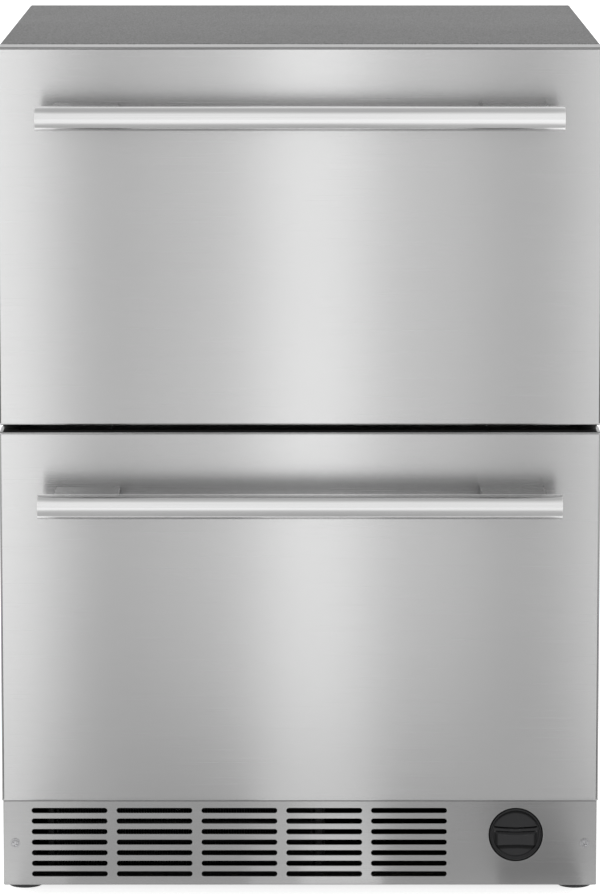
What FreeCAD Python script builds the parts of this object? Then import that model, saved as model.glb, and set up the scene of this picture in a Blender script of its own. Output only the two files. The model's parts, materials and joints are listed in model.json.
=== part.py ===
"""Undercounter drawer refrigerator: two cooled drawers over a slotted toe grille.

Millimetres. X runs to the right as seen from the front, Y runs to the back, Z runs up.
The origin lies on the floor under the middle of the whole appliance, handles included.
"""
import FreeCAD, Part
import Sketcher
import math
import os
import re

# ---------------------------------------------------------------- driving dimensions (mm)
SIZES = {
    # steel case
    "case_width": 604,
    "case_height": 855,
    "machine_depth": 227,
    "floor_clearance": 16,
    "case_sheet": 1,
    # drawer fronts
    "front_overhang": 1,
    "front_thickness": 40,
    "upper_front_height": 381,
    "toe_height": 87,
    "toe_seam": 1,
    "front_gap": 7,
    "seal_gap": 8,
    "front_sheet": 1.2,
    "front_edge_radius": 2.5,
    # insulation and the two cavities
    "side_wall": 42,
    "top_wall": 39,
    "rear_wall": 50,
    "mullion_height": 41,
    "cavity_floor_rise": 49,
    "liner_sheet": 2,
    "liner_radius": 14,
    "frame_sheet": 1.5,
    "step_gap": 29,
    "step_height": 112,
    "step_wall": 40,
    # gaskets and the raised inner face of each drawer front
    "gasket_width": 13,
    "gasket_inset": 2,
    "gasket_clearance": 0.3,
    "gasket_edge": 2,
    "dam_inset": 24,
    "dam_depth": 14,
    # bar handles
    "bar_length": 523,
    "bar_radius": 12.5,
    "bar_reach": 58,
    "bar_drop": 66,
    "bar_chamfer": 0.8,
    "post_width": 65,
    "post_height": 20,
    "post_inset": 15.6,
    "post_corner": 3,
    "saddle_clearance": 0.1,
    # telescopic slides
    "slide_height": 45,
    "slide_depth": 12.7,
    "slide_sheet": 1.2,
    "slide_lip": 2.3,
    "slide_play": 0.4,
    "slide_arm_step": 1.7,
    "slide_front_inset": 12,
    "upper_slide_length": 440,
    "lower_slide_length": 325,
    # bins
    "bin_wall": 2,
    "bin_corner": 12,
    "bin_rim": 6,
    "upper_bin_depth": 425,
    "lower_bin_depth": 300,
    "upper_bin_rise": 16,
    "lower_bin_rise": 12,
    "upper_bin_height": 236,
    "lower_bin_height": 205,
    "upper_slide_rise": 150,
    "lower_slide_rise": 148,
    "ice_bin_width": 216,
    "ice_bin_height": 150,
    "ice_bin_margin": 6,
    # toe grille
    "grille_setback": 4,
    "grille_gap": 0.5,
    "grille_bottom_gap": 15,
    "grille_sheet": 1.5,
    "slot_length": 76.9,
    "slot_height": 5,
    "slot_pitch_across": 86.4,
    "slot_pitch_down": 11,
    "slot_columns": 5,
    "slot_rows": 7,
    "slot_left_margin": 29,
    "slot_top_margin": 11,
    "screw_inset": 12,
    "screw_height": 58.7,
    "screw_head_radius": 3.6,
    "screw_washer_radius": 4.7,
    "screw_shank_radius": 2,
    "screw_length": 14,
    "screw_proud": 3,
    "screw_washer_thick": 0.8,
    # base tray and levelling legs
    "pan_sheet": 1.5,
    "pan_flange": 44,
    "ear_width": 17,
    "ear_height": 30,
    "leg_inset": 19,
    "front_leg_setback": 67,
    "rear_leg_setback": 50,
    "leg_disc_radius": 18,
    "leg_disc_height": 8,
    "leg_stem_radius": 5,
    "leg_stem_length": 44,
    "leg_stem_clearance": 0.08,
    "leg_boss_radius": 11,
    "leg_boss_height": 24,
    # water filter behind the grille
    "filter_from_right": 82.2,
    "filter_height": 67.3,
    "cap_rim_radius": 26.4,
    "cap_rim_gap": 1.2,
    "cap_rim_depth": 4.2,
    "cap_proud": 1.2,
    "cap_dish_radius": 22.6,
    "cap_dish_depth": 5,
    "cap_edge": 1.2,
    "cap_grip_length": 41.2,
    "cap_grip_width": 16.8,
    "cap_grip_height": 9.8,
    "cap_grip_taper": 3.3,
    "cap_grip_drop": 3,
    "cap_grip_corner_across": 3,
    "cap_grip_corner_up": 5,
    "cap_grip_root": 1,
    "cap_neck_length": 10,
    "filter_radius": 23.6,
    "filter_length": 205,
    "filter_neck_radius": 13.5,
    "filter_neck_length": 18,
    "filter_lug_reach": 3.5,
    "filter_lug_width": 6,
    "filter_lug_start": 6,
    "filter_lug_length": 6,
    "filter_play": 0.4,
    "ring_floor": 3,
    "ring_end_play": 1,
    "housing_wall": 5,
    "housing_setback": 6,
    "port_radius": 5,
    "port_spread": 11,
    "port_length": 20,
    "saddle_foot_half": 18,
    "saddle_top_half": 12,
    "saddle_length": 14,
    "front_saddle_setback": 44,
    "rear_saddle_setback": 30,
    # condenser and its fan in the toe space
    "condenser_left_inset": 38,
    "condenser_width": 290,
    "condenser_height": 72,
    "condenser_depth": 22,
    "condenser_setback": 18,
    "condenser_tubes": 4,
    "condenser_fins": 8,
    "condenser_tube_height": 2,
    "condenser_fin_thick": 0.6,
    "condenser_header_width": 14,
    "condenser_lift": 2,
    "condenser_tube_margin": 5,
    "condenser_tube_inset": 3,
    "condenser_fin_inset": 2,
    "condenser_fin_margin": 12,
    "fan_radius": 35,
    "fan_chord": 22,
    "fan_pitch_rise": 12,
    "fan_tip_clearance": 2,
    "fan_hub_radius": 12,
    "fan_hub_length": 18,
    "fan_blades": 5,
    "fan_blade_thick": 1.6,
    "fan_shaft_radius": 2.5,
    "fan_shaft_clearance": 0.08,
    "fan_motor_width": 34,
    "fan_motor_length": 24,
    "fan_shaft_length": 14,
    "fan_hub_floor": 4,
    "fan_setback": 4,
    "fan_arms": 3,
    "fan_arm_half": 3.5,
    "fan_arm_thick": 3,
    "shroud_sheet": 2,
    "shroud_ring_depth": 26,
    "shroud_lift": 1,
    # compressor and machine space
    "compressor_radius": 72,
    "compressor_height": 150,
    "compressor_bevel": 20,
    "compressor_from_left": 185,
    "compressor_from_back": 97,
    "compressor_seam_height": 84,
    "compressor_seam_reach": 3,
    "compressor_seam_thick": 5,
    "compressor_lid_step": 2,
    "compressor_plate_margin": 13,
    "compressor_plate_thick": 3,
    "terminal_reach": 22,
    "terminal_overlap": 8,
    "terminal_half_width": 24,
    "terminal_bottom": 34,
    "terminal_top_gap": 4,
    "grommet_height": 14,
    "grommet_radius": 9,
    "grommet_spread": 58,
    "grommet_neck_radius": 4,
    "grommet_cap_reach": 3,
    "grommet_cap_height": 4,
    "discharge_height": 50,
    "discharge_shift": 20,
    "discharge_reach": 18,
    "discharge_overlap": 10,
    "discharge_wall": 1,
    "drain_pan_width": 200,
    "drain_pan_depth": 130,
    "drain_pan_height": 40,
    "drain_pan_wall": 2,
    "drain_pan_right_gap": 60,
    "drain_pan_front_gap": 18,
    "drier_radius": 10,
    "drier_length": 90,
    "drier_stub": 12,
    "drier_lift": 12,
    "drier_inset": 22,
    "drier_clip_half": 6,
    "drier_clip_length": 10,
    "pipe_radius": 3,
    "pipe_bend": 12,
    "pipe_run_gap": 30,
    "cover_recess": 20,
    "cover_sheet": 1.2,
    "louvre_margin": 40,
    "louvre_length": 110,
    "louvre_height": 5,
    "louvre_pitch": 18,
    "louvre_gap": 30,
    "louvre_rows": 7,
    "louvre_columns": 3,
    # evaporator in the lower cavity
    "evaporator_width": 380,
    "evaporator_depth": 60,
    "evaporator_height": 100,
    "evaporator_fins": 8,
    "evaporator_fin_thick": 0.8,
    "evaporator_tubes": 3,
    "evaporator_tube_height": 6,
    "evaporator_tube_inset": 6,
    "evaporator_back_gap": 8,
    "cover_width": 430,
    "intake_margin": 32,
    "intake_length": 80,
    "intake_height": 6,
    "intake_columns": 4,
    "intake_rows": 3,
    "intake_gap": 15,
    "intake_pitch": 14.4,
    "intake_top": 60,
    "cover_front_gap": 14,
    "cover_wall": 2,
    "evaporator_fan_drop": 42,
    # ice maker
    "mould_cells": 7,
    "mould_cell_length": 21,
    "mould_cell_wall": 3,
    "mould_radius": 25,
    "mould_wall": 4,
    "mould_from_left": 34,
    "mould_drop": 40,
    "mould_front_gap": 78,
    "hanger_inset": 12,
    "hanger_width": 20,
    "hanger_overlap": 14,
    "hanger_thick": 2,
    "ejector_radius": 23,
    "ejector_shaft_radius": 4,
    "ejector_tail": 4,
    "ejector_stub": 12,
    "ejector_finger_half": 3,
    "ejector_finger_thick": 4,
    "drive_length": 42,
    "drive_bore": 14,
    "drive_edge": 5,
    # controls, lamps and rear connections
    "panel_width": 170,
    "panel_depth": 34,
    "panel_height": 13,
    "lamp_length": 180,
    "lamp_width": 26,
    "lamp_thick": 6,
    "upper_lamp_setback": 110,
    "lower_lamp_setback": 24,
    "inlet_radius": 13.2,
    "inlet_length": 13,
    "inlet_bore": 8,
    "inlet_hole_gap": 2,
    "connection_height": 120,
    "connection_inset": 62,
    "valve_half_width": 22,
    "valve_drop": 18,
    "valve_rise": 16,
    "valve_depth": 32,
    "solenoid_radius": 14,
    "solenoid_setback": 18,
    "solenoid_height": 28,
    "socket_height": 33,
    "socket_half_width": 14.6,
    "socket_half_height": 10.6,
    "socket_gap": 0.4,
    "socket_depth": 20,
    "socket_flange": 4.4,
    "socket_flange_thick": 2,
    "socket_bore_depth": 14,
    "socket_bore_half": 10,
    "socket_bore_bottom": 6,
    "socket_bore_shoulder": 2,
    "socket_bore_top": 6.5,
}

# ---------------------------------------------------------------- places worked out from them
PLACES = {
    "step_front": "lower_bin_depth + step_gap",
    "case_depth": "step_front + machine_depth",
    # across
    "case_half": "case_width / 2",
    "inside_half": "case_half - case_sheet",
    "front_half": "case_half + front_overhang",
    "cavity_half": "case_half - side_wall",
    "wall_x": "cavity_half - liner_sheet",
    "bin_half": "wall_x - slide_depth",
    # front to back
    "overall_depth": "bar_reach + bar_radius + front_thickness + seal_gap + case_depth",
    "bar_y": "bar_radius - overall_depth / 2",
    "face_y": "bar_y + bar_reach",
    "panel_back_y": "face_y + front_thickness",
    "case_front_y": "panel_back_y + seal_gap",
    "case_back_y": "case_front_y + case_depth",
    "foam_front_y": "case_front_y + frame_sheet",
    "foam_back_y": "case_back_y - case_sheet",
    "dam_back_y": "case_front_y + dam_depth",
    "cavity_back_y": "case_back_y - rear_wall",
    "step_y": "case_front_y + step_front",
    "machine_front_y": "step_y + step_wall",
    "cover_y": "case_back_y - cover_recess",
    "slide_front_y": "case_front_y + slide_front_inset",
    # up
    "case_top": "floor_clearance + case_height",
    "upper_front_bottom": "case_top - upper_front_height",
    "lower_front_top": "upper_front_bottom - front_gap",
    "lower_front_bottom": "floor_clearance + toe_height",
    "toe_top": "lower_front_bottom - toe_seam",
    "mullion_middle": "(upper_front_bottom + lower_front_top) / 2",
    "upper_floor": "mullion_middle + mullion_height / 2",
    "upper_ceiling": "case_top - top_wall",
    "lower_ceiling": "mullion_middle - mullion_height / 2",
    "lower_floor": "toe_top + cavity_floor_rise",
    "shelf_floor": "lower_floor + step_height",
    "machine_top": "shelf_floor - step_wall",
    "upper_bar_z": "case_top - bar_drop",
    "lower_bar_z": "lower_front_top - bar_drop",
    "upper_bin_bottom": "upper_floor + liner_sheet + upper_bin_rise",
    "lower_bin_bottom": "lower_floor + liner_sheet + lower_bin_rise",
    "upper_slide_z": "upper_floor + upper_slide_rise",
    "lower_slide_z": "lower_floor + lower_slide_rise",
    "pan_top": "floor_clearance + pan_sheet",
    # toe grille and filter
    "grille_front_y": "face_y + grille_setback",
    "grille_back_y": "grille_front_y + grille_sheet",
    "grille_top": "lower_front_bottom - grille_gap",
    "slot_first_x": "slot_left_margin - case_half + slot_length / 2",
    "slot_first_z": "grille_top - slot_top_margin",
    "screw_x": "case_half - screw_inset",
    "filter_x": "case_half - filter_from_right",
    "barrel_radius": "filter_radius + filter_play",
    "grille_hole_radius": "cap_rim_radius + cap_rim_gap",
    "housing_bore": "filter_radius + 2 * filter_play",
    "housing_radius": "housing_bore + housing_wall",
    "housing_front_y": "grille_back_y + housing_setback",
    "cap_back_y": "grille_back_y + cap_neck_length",
    "filter_back_y": "cap_back_y + filter_length",
    "ring_length": "filter_neck_length + ring_end_play + ring_floor",
    # toe space
    "condenser_x": "condenser_left_inset + condenser_width / 2 - case_half",
    "condenser_y": "case_front_y + condenser_setback",
    "condenser_z": "pan_top + condenser_lift",
    "shroud_y": "condenser_y + condenser_depth",
    "fan_hole": "fan_radius + fan_tip_clearance",
    "fan_z": "pan_top + fan_hole + shroud_sheet + shroud_lift",
    "fan_y": "shroud_y + shroud_sheet + fan_setback",
    "motor_y": "shroud_y + shroud_ring_depth",
    # machine space
    "compressor_x": "compressor_from_left - case_half",
    "compressor_y": "case_back_y - compressor_from_back",
    "compressor_z": "pan_top + grommet_height",
    "drain_pan_x": "case_half - drain_pan_right_gap - drain_pan_width / 2",
    "drain_pan_y": "machine_front_y + drain_pan_front_gap + drain_pan_depth / 2",
    "connection_x": "case_half - connection_inset",
    # evaporator compartment
    "evaporator_y": "cavity_back_y - liner_sheet - evaporator_depth - evaporator_back_gap",
    "shelf_top": "shelf_floor + liner_sheet",
    "cover_front_y": "step_y + cover_front_gap",
    "evaporator_fan_z": "lower_ceiling - liner_sheet - evaporator_fan_drop",
    "evaporator_fan_y": "cover_front_y + cover_wall + fan_setback",
    # ice maker
    "mould_length": "mould_cells * (mould_cell_length + mould_cell_wall) + mould_cell_wall",
    "mould_x": "mould_from_left - wall_x",
    "mould_y": "step_y - mould_front_gap",
    "mould_z": "lower_ceiling - liner_sheet - mould_drop",
}

doc = FreeCAD.newDocument("undercounter_drawer_refrigerator")
sheet = doc.addObject("Spreadsheet::Sheet", "sizes")
for row, (name, number) in enumerate(SIZES.items(), 1):
    sheet.set(f"A{row}", name)
    sheet.set(f"B{row}", str(number))
    sheet.setAlias(f"B{row}", name)
places = doc.addObject("App::VarSet", "places")


def link(formula):
    """Turn a formula in plain names into one that reads the sheet and the places."""
    def reference(match):
        word = match.group(0)
        if word in SIZES:
            return "sizes." + word
        if word in PLACES:
            return "places." + word
        return word
    return re.sub(r"[A-Za-z_][A-Za-z_0-9]*", reference, str(formula))


for name in PLACES:
    places.addProperty("App::PropertyFloat", name, "Layout")
for name, formula in PLACES.items():
    places.setExpression(name, link(formula))
doc.recompute()


def value(formula):
    """The present number of a formula in plain names."""
    return float(places.evalExpression(link(formula)))


# ---------------------------------------------------------------- outlines for sketches
def fix_point(sketch, geometry, point, across, up):
    """Tie one point of a sketch to the origin by two driven distances."""
    first = sketch.addConstraint(
        Sketcher.Constraint("DistanceX", -1, 1, geometry, point, value(across)))
    sketch.setExpression(f"Constraints[{first}]", link(across))
    second = sketch.addConstraint(
        Sketcher.Constraint("DistanceY", -1, 1, geometry, point, value(up)))
    sketch.setExpression(f"Constraints[{second}]", link(up))


def polygon(*corners):
    """A closed outline of straight lines through corners given as pairs of formulas."""
    def draw(sketch):
        start = sketch.GeometryCount
        spots = [FreeCAD.Vector(value(x), value(y), 0) for x, y in corners]
        count = len(corners)
        for index in range(count):
            line = Part.LineSegment(spots[index], spots[(index + 1) % count])
            sketch.addGeometry(line, False)
        for index in range(count):
            following = start + (index + 1) % count
            sketch.addConstraint(Sketcher.Constraint("Coincident", start + index, 2, following, 1))
        for index, (x, y) in enumerate(corners):
            fix_point(sketch, start + index, 1, x, y)
    return draw


def rectangle(left, right, bottom, top):
    return polygon((left, bottom), (right, bottom), (right, top), (left, top))


def rounded_rectangle(left, right, bottom, top, radius):
    """A rectangle whose corners are quarter circles."""
    def draw(sketch):
        start = sketch.GeometryCount
        size = value(radius)
        normal = FreeCAD.Vector(0, 0, 1)
        corners = [
            (f"{left} + {radius}", f"{bottom} + {radius}"),
            (f"{right} - ({radius})", f"{bottom} + {radius}"),
            (f"{right} - ({radius})", f"{top} - ({radius})"),
            (f"{left} + {radius}", f"{top} - ({radius})")]
        middles = [FreeCAD.Vector(value(x), value(y), 0) for x, y in corners]
        for index, middle in enumerate(middles):
            opening = math.pi + index * math.pi / 2
            arc = Part.ArcOfCircle(
                Part.Circle(middle, normal, size), opening, opening + math.pi / 2)
            sketch.addGeometry(arc, False)
            outward = opening + math.pi / 2
            step = FreeCAD.Vector(math.cos(outward), math.sin(outward), 0) * size
            following = middles[(index + 1) % 4]
            sketch.addGeometry(Part.LineSegment(middle + step, following + step), False)
        for index in range(8):
            following = start + (index + 1) % 8
            sketch.addConstraint(Sketcher.Constraint("Tangent", start + index, 2, following, 1))
        for index, (x, y) in enumerate(corners):
            fix_point(sketch, start + 2 * index, 3, x, y)
        driven = sketch.addConstraint(Sketcher.Constraint("Radius", start, size))
        sketch.setExpression(f"Constraints[{driven}]", link(radius))
    return draw


def circle(x, y, radius):
    def draw(sketch):
        centre = FreeCAD.Vector(value(x), value(y), 0)
        ring = sketch.addGeometry(
            Part.Circle(centre, FreeCAD.Vector(0, 0, 1), value(radius)), False)
        fix_point(sketch, ring, 3, x, y)
        size = sketch.addConstraint(Sketcher.Constraint("Radius", ring, value(radius)))
        sketch.setExpression(f"Constraints[{size}]", link(radius))
    return draw


def slot(x, y, length, height):
    """A level slot about x, y. Three flats stand for each round end."""
    bevel = 1 - math.tan(math.pi / 8)
    reach = f"({length}) / 2"
    radius = f"({height}) / 2"
    cut = f"{bevel:.4f} * {radius}"
    return polygon(
        (f"{x} - ({reach} - {cut})", f"{y} - {radius}"),
        (f"{x} + ({reach} - {cut})", f"{y} - {radius}"),
        (f"{x} + {reach}", f"{y} - ({radius} - {cut})"),
        (f"{x} + {reach}", f"{y} + ({radius} - {cut})"),
        (f"{x} + ({reach} - {cut})", f"{y} + {radius}"),
        (f"{x} - ({reach} - {cut})", f"{y} + {radius}"),
        (f"{x} - {reach}", f"{y} + ({radius} - {cut})"),
        (f"{x} - {reach}", f"{y} - ({radius} - {cut})"))


def facets(x, y, radius, sides):
    """A regular outline with flats that touch a circle of the radius from outside."""
    reach = 1 / math.cos(math.pi / sides)
    corners = []
    for index in range(sides):
        angle = (index + 0.5) * 2 * math.pi / sides
        corners.append((
            f"{x} + ({radius}) * {reach * math.cos(angle):.6f}",
            f"{y} + ({radius}) * {reach * math.sin(angle):.6f}"))
    return polygon(*corners)


# ---------------------------------------------------------------- features
PLANES = {"XY": "XY_Plane", "XZ": "XZ_Plane", "YZ": "YZ_Plane"}
made = []
cuts = []


def new_body(label):
    body = doc.addObject("PartDesign::Body", label)
    body.Label = label
    body.AllowCompound = True
    made.append(body)
    return body


def move_to(item, x, y, z):
    """Put a piece that is drawn about its own origin in its place."""
    for axis, formula in zip("xyz", (x, y, z)):
        item.setExpression(f"Placement.Base.{axis}", link(formula))


def new_sketch(body, plane, outlines, shift):
    """A sketch on one of the body's own planes; shift gives its offset as three formulas."""
    sketch = body.newObject("Sketcher::SketchObject", f"{body.Name}_sketch")
    role = PLANES[plane]
    support = next(item for item in body.Origin.OriginFeatures if item.Role == role)
    sketch.AttachmentSupport = [(support, "")]
    sketch.MapMode = "FlatFace"
    for axis, formula in zip("xyz", shift):
        sketch.setExpression(f"AttachmentOffset.Base.{axis}", link(formula))
    for outline in outlines:
        outline(sketch)
    return sketch


def plane_offset(plane, start, stop):
    """The XZ plane faces the front, so its sketch starts at the rear end of the run."""
    return f"-({stop})" if plane == "XZ" else f"{start}"


def pad(body, plane, outlines, start, stop):
    """Material between two places along the axis that the plane faces."""
    sketch = new_sketch(body, plane, outlines, ("0", "0", plane_offset(plane, start, stop)))
    feature = body.newObject("PartDesign::Pad", f"{body.Name}_pad")
    feature.Profile = sketch
    feature.setExpression("Length", link(f"({stop}) - ({start})"))
    sketch.Visibility = False
    return feature


def pocket(body, plane, outlines, start, stop):
    """A cut between two places along the axis that the plane faces."""
    sketch = new_sketch(body, plane, outlines, ("0", "0", plane_offset(plane, start, stop)))
    feature = body.newObject("PartDesign::Pocket", f"{body.Name}_pocket")
    feature.Profile = sketch
    feature.Reversed = True
    feature.setExpression("Length", link(f"({stop}) - ({start})"))
    sketch.Visibility = False
    cuts.append(feature)
    return feature


def turned(body, profile, y, z):
    """A form revolved about a line along X. The profile's pairs are a place along it and a radius."""
    sketch = new_sketch(body, "XY", [polygon(*profile)], ("0", y, z))
    feature = body.newObject("PartDesign::Revolution", f"{body.Name}_turned")
    feature.Profile = sketch
    feature.ReferenceAxis = (sketch, ["H_Axis"])
    feature.Angle = 360
    return feature


def row_of(body, feature, axis, pitch, count):
    """Repeat a feature along its own sketch's level (H) or upright (V) axis."""
    pattern = body.newObject("PartDesign::LinearPattern", f"{body.Name}_row")
    pattern.Originals = [feature]
    pattern.Direction = (feature.Profile[0], [axis])
    pattern.Mode = "Spacing"
    pattern.setExpression("Offset", link(pitch))
    pattern.setExpression("Occurrences", link(count))
    body.Tip = pattern
    return pattern


def grid_of(body, feature, pitch_across, columns, pitch_down, rows):
    """Repeat a feature in columns to the right and rows downwards."""
    grid = body.newObject("PartDesign::MultiTransform", f"{body.Name}_grid")
    grid.Originals = [feature]
    steps = []
    for axis, back, pitch, count in (
            ("H_Axis", False, pitch_across, columns), ("V_Axis", True, pitch_down, rows)):
        step = doc.addObject("PartDesign::LinearPattern", f"{body.Name}_{axis}")
        step.Direction = (feature.Profile[0], [axis])
        step.Mode = "Spacing"
        step.Reversed = back
        step.setExpression("Offset", link(pitch))
        step.setExpression("Occurrences", link(count))
        steps.append(step)
    grid.Transformations = steps
    body.Tip = grid
    return grid


def mirrored(body, features):
    """Copies of features on the other side of the body's own YZ plane."""
    role = PLANES["YZ"]
    support = next(item for item in body.Origin.OriginFeatures if item.Role == role)
    mirror = body.newObject("PartDesign::Mirrored", f"{body.Name}_mirror")
    mirror.Originals = features
    mirror.MirrorPlane = (support, [""])
    body.Tip = mirror
    return mirror


def ring_of(body, features, axis_sketch, axis, count):
    """Copies of features around an axis of one sketch."""
    ring = body.newObject("PartDesign::PolarPattern", f"{body.Name}_ring")
    ring.Originals = features
    ring.Axis = (axis_sketch, [axis])
    ring.Angle = 360
    ring.setExpression("Occurrences", link(count))
    body.Tip = ring
    return ring


def runs_along(edge, axis):
    """Whether a straight edge runs along X, Y or Z."""
    if edge.Curve.TypeId != "Part::GeomLine":
        return False
    return abs(abs(getattr(edge.Curve.Direction, axis.lower())) - 1) < 1e-6


def dressed(body, kind, base, size, chosen):
    """A fillet or chamfer on the edges of a feature that a test chooses."""
    doc.recompute()
    names = [f"Edge{index}" for index, edge in enumerate(base.Shape.Edges, 1) if chosen(edge)]
    feature = body.newObject(f"PartDesign::{kind}", f"{body.Name}_{kind.lower()}")
    feature.Base = (base, names)
    feature.setExpression("Radius" if kind == "Fillet" else "Size", link(size))
    body.Tip = feature
    return feature


# ---------------------------------------------------------------- case
def make_outer_wrap():
    """Top and sides bent from one sheet."""
    body = new_body("outer_wrap")
    section = polygon(
        ("-case_half", "floor_clearance"), ("-inside_half", "floor_clearance"),
        ("-inside_half", "case_top - case_sheet"), ("inside_half", "case_top - case_sheet"),
        ("inside_half", "floor_clearance"), ("case_half", "floor_clearance"),
        ("case_half", "case_top"), ("-case_half", "case_top"))
    pad(body, "XZ", [section], "case_front_y", "case_back_y")


def make_rear_panel():
    body = new_body("rear_panel")
    outline = rectangle("-inside_half", "inside_half", "machine_top", "case_top - case_sheet")
    pad(body, "XZ", [outline], "foam_back_y", "case_back_y")


def lower_cavity_outline(inset):
    """Side outline of the lower cavity, stepped over the machine space."""
    return polygon(
        ("foam_front_y", f"lower_floor + {inset}"), (f"step_y - {inset}", f"lower_floor + {inset}"),
        (f"step_y - {inset}", f"shelf_floor + {inset}"),
        (f"cavity_back_y - {inset}", f"shelf_floor + {inset}"),
        (f"cavity_back_y - {inset}", f"lower_ceiling - {inset}"),
        ("foam_front_y", f"lower_ceiling - {inset}"))


def make_insulation():
    body = new_body("cabinet_insulation")
    side = polygon(
        ("foam_front_y", "toe_top"), ("machine_front_y", "toe_top"),
        ("machine_front_y", "machine_top"), ("foam_back_y", "machine_top"),
        ("foam_back_y", "case_top - case_sheet"), ("foam_front_y", "case_top - case_sheet"))
    pad(body, "YZ", [side], "-inside_half", "inside_half")
    upper = rectangle("foam_front_y", "cavity_back_y", "upper_floor", "upper_ceiling")
    pocket(body, "YZ", [upper], "-cavity_half", "cavity_half")
    pocket(body, "YZ", [lower_cavity_outline("0")], "-cavity_half", "cavity_half")


def upper_window():
    """Front opening of the upper cavity, which its liner and the face frame share."""
    return rounded_rectangle(
        "-wall_x", "wall_x", "upper_floor + liner_sheet", "upper_ceiling - liner_sheet",
        "liner_radius - liner_sheet")


def make_liners():
    """Moulded cavity linings, open to the front."""
    upper = new_body("upper_liner")
    outside = rounded_rectangle(
        "-cavity_half", "cavity_half", "upper_floor", "upper_ceiling", "liner_radius")
    pad(upper, "XZ", [outside], "foam_front_y", "cavity_back_y")
    pocket(upper, "XZ", [upper_window()], "foam_front_y", "cavity_back_y - liner_sheet")
    lower = new_body("lower_liner")
    pad(lower, "YZ", [lower_cavity_outline("0")], "-cavity_half", "cavity_half")
    pocket(lower, "YZ", [lower_cavity_outline("liner_sheet")], "-wall_x", "wall_x")


def make_face_frame():
    """Front frame with two windows; the gaskets close on it."""
    body = new_body("face_frame")
    plate = rectangle("-inside_half", "inside_half", "toe_top", "case_top - case_sheet")
    pad(body, "XZ", [plate], "case_front_y", "foam_front_y")
    lower_window = rectangle(
        "-wall_x", "wall_x", "lower_floor + liner_sheet", "lower_ceiling - liner_sheet")
    pocket(body, "XZ", [upper_window(), lower_window], "case_front_y", "foam_front_y")


def make_machine_cover():
    """Recessed rear cover with columns of louvre slots and holes for water and power."""
    body = new_body("machine_cover")
    plate = rectangle("-inside_half", "inside_half", "floor_clearance", "machine_top")
    pad(body, "XZ", [plate], "cover_y", "cover_y + cover_sheet")
    openings = [
        circle("connection_x", "connection_height", "inlet_radius + inlet_hole_gap"),
        rectangle(
            "connection_x - socket_half_width - socket_gap",
            "connection_x + socket_half_width + socket_gap",
            "pan_top + socket_height - socket_half_height - socket_gap",
            "pan_top + socket_height + socket_half_height + socket_gap"),
    ]
    pocket(body, "XZ", openings, "cover_y", "cover_y + cover_sheet")
    louvre = rectangle(
        "louvre_margin - case_half", "louvre_margin + louvre_length - case_half",
        "machine_top - louvre_margin - louvre_height", "machine_top - louvre_margin")
    cut = pocket(body, "XZ", [louvre], "cover_y", "cover_y + cover_sheet")
    grid_of(body, cut, "louvre_length + louvre_gap", "louvre_columns",
            "louvre_pitch", "louvre_rows")


# ---------------------------------------------------------------- base and legs
DISC_SIDES = 20
STEM_SIDES = 14
SCREW_SIDES = 10
LEG_PLACES = {
    "left_front_leg": (-1, "face_y + front_leg_setback"),
    "right_front_leg": (1, "face_y + front_leg_setback"),
    "left_rear_leg": (-1, "case_back_y - rear_leg_setback"),
    "right_rear_leg": (1, "case_back_y - rear_leg_setback"),
}


def screw_hole(side):
    """Clearance hole for a grille screw's shank on one side."""
    return facets(f"{side} * screw_x", "screw_height",
                  "screw_shank_radius + saddle_clearance", SCREW_SIDES)


def make_base_pan():
    """Folded tray with hexagon nuts for the legs and two ears that hold the grille."""
    body = new_body("base_pan")
    section = polygon(
        ("-inside_half", "floor_clearance"), ("inside_half", "floor_clearance"),
        ("inside_half", "floor_clearance + pan_flange"),
        ("inside_half - pan_sheet", "floor_clearance + pan_flange"),
        ("inside_half - pan_sheet", "pan_top"), ("-(inside_half - pan_sheet)", "pan_top"),
        ("-(inside_half - pan_sheet)", "floor_clearance + pan_flange"),
        ("-inside_half", "floor_clearance + pan_flange"))
    pad(body, "XZ", [section], "case_front_y", "cover_y")
    bosses = [
        facets(f"{side} * (case_half - leg_inset)", y, "leg_boss_radius", 6)
        for side, y in LEG_PLACES.values()]
    pad(body, "XY", bosses, "pan_top", "floor_clearance + leg_boss_height")
    bores = [
        facets(f"{side} * (case_half - leg_inset)", y, "leg_stem_radius + leg_stem_clearance",
               STEM_SIDES)
        for side, y in LEG_PLACES.values()]
    pocket(body, "XY", bores, "floor_clearance", "floor_clearance + leg_boss_height")
    arm_outer = "inside_half - pan_sheet"
    arm = rectangle(
        f"{arm_outer} - pan_sheet", arm_outer,
        "screw_height - ear_height / 2", "screw_height + ear_height / 2")
    ear = rectangle(
        f"{arm_outer} - ear_width", arm_outer,
        "screw_height - ear_height / 2", "screw_height + ear_height / 2")
    arms = pad(body, "XZ", [arm], "grille_back_y", "case_front_y + ear_height")
    ears = pad(body, "XZ", [ear], "grille_back_y", "grille_back_y + pan_sheet")
    mirrored(body, [arms, ears])
    holes = [screw_hole(side) for side in (-1, 1)]
    pocket(body, "XZ", holes, "grille_back_y", "grille_back_y + pan_sheet")


def make_leg(label, side, y):
    """Levelling leg: a disc with grip flats on a stem that stands for its thread."""
    body = new_body(label)
    pad(body, "XY", [facets("0", "0", "leg_disc_radius", DISC_SIDES)], "0", "leg_disc_height")
    pad(body, "XY", [facets("0", "0", "leg_stem_radius", STEM_SIDES)],
        "leg_disc_height", "leg_disc_height + leg_stem_length")
    move_to(body, f"{side} * (case_half - leg_inset)", y, "0")


# ---------------------------------------------------------------- toe grille
CAP_SIDES = 28


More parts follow.
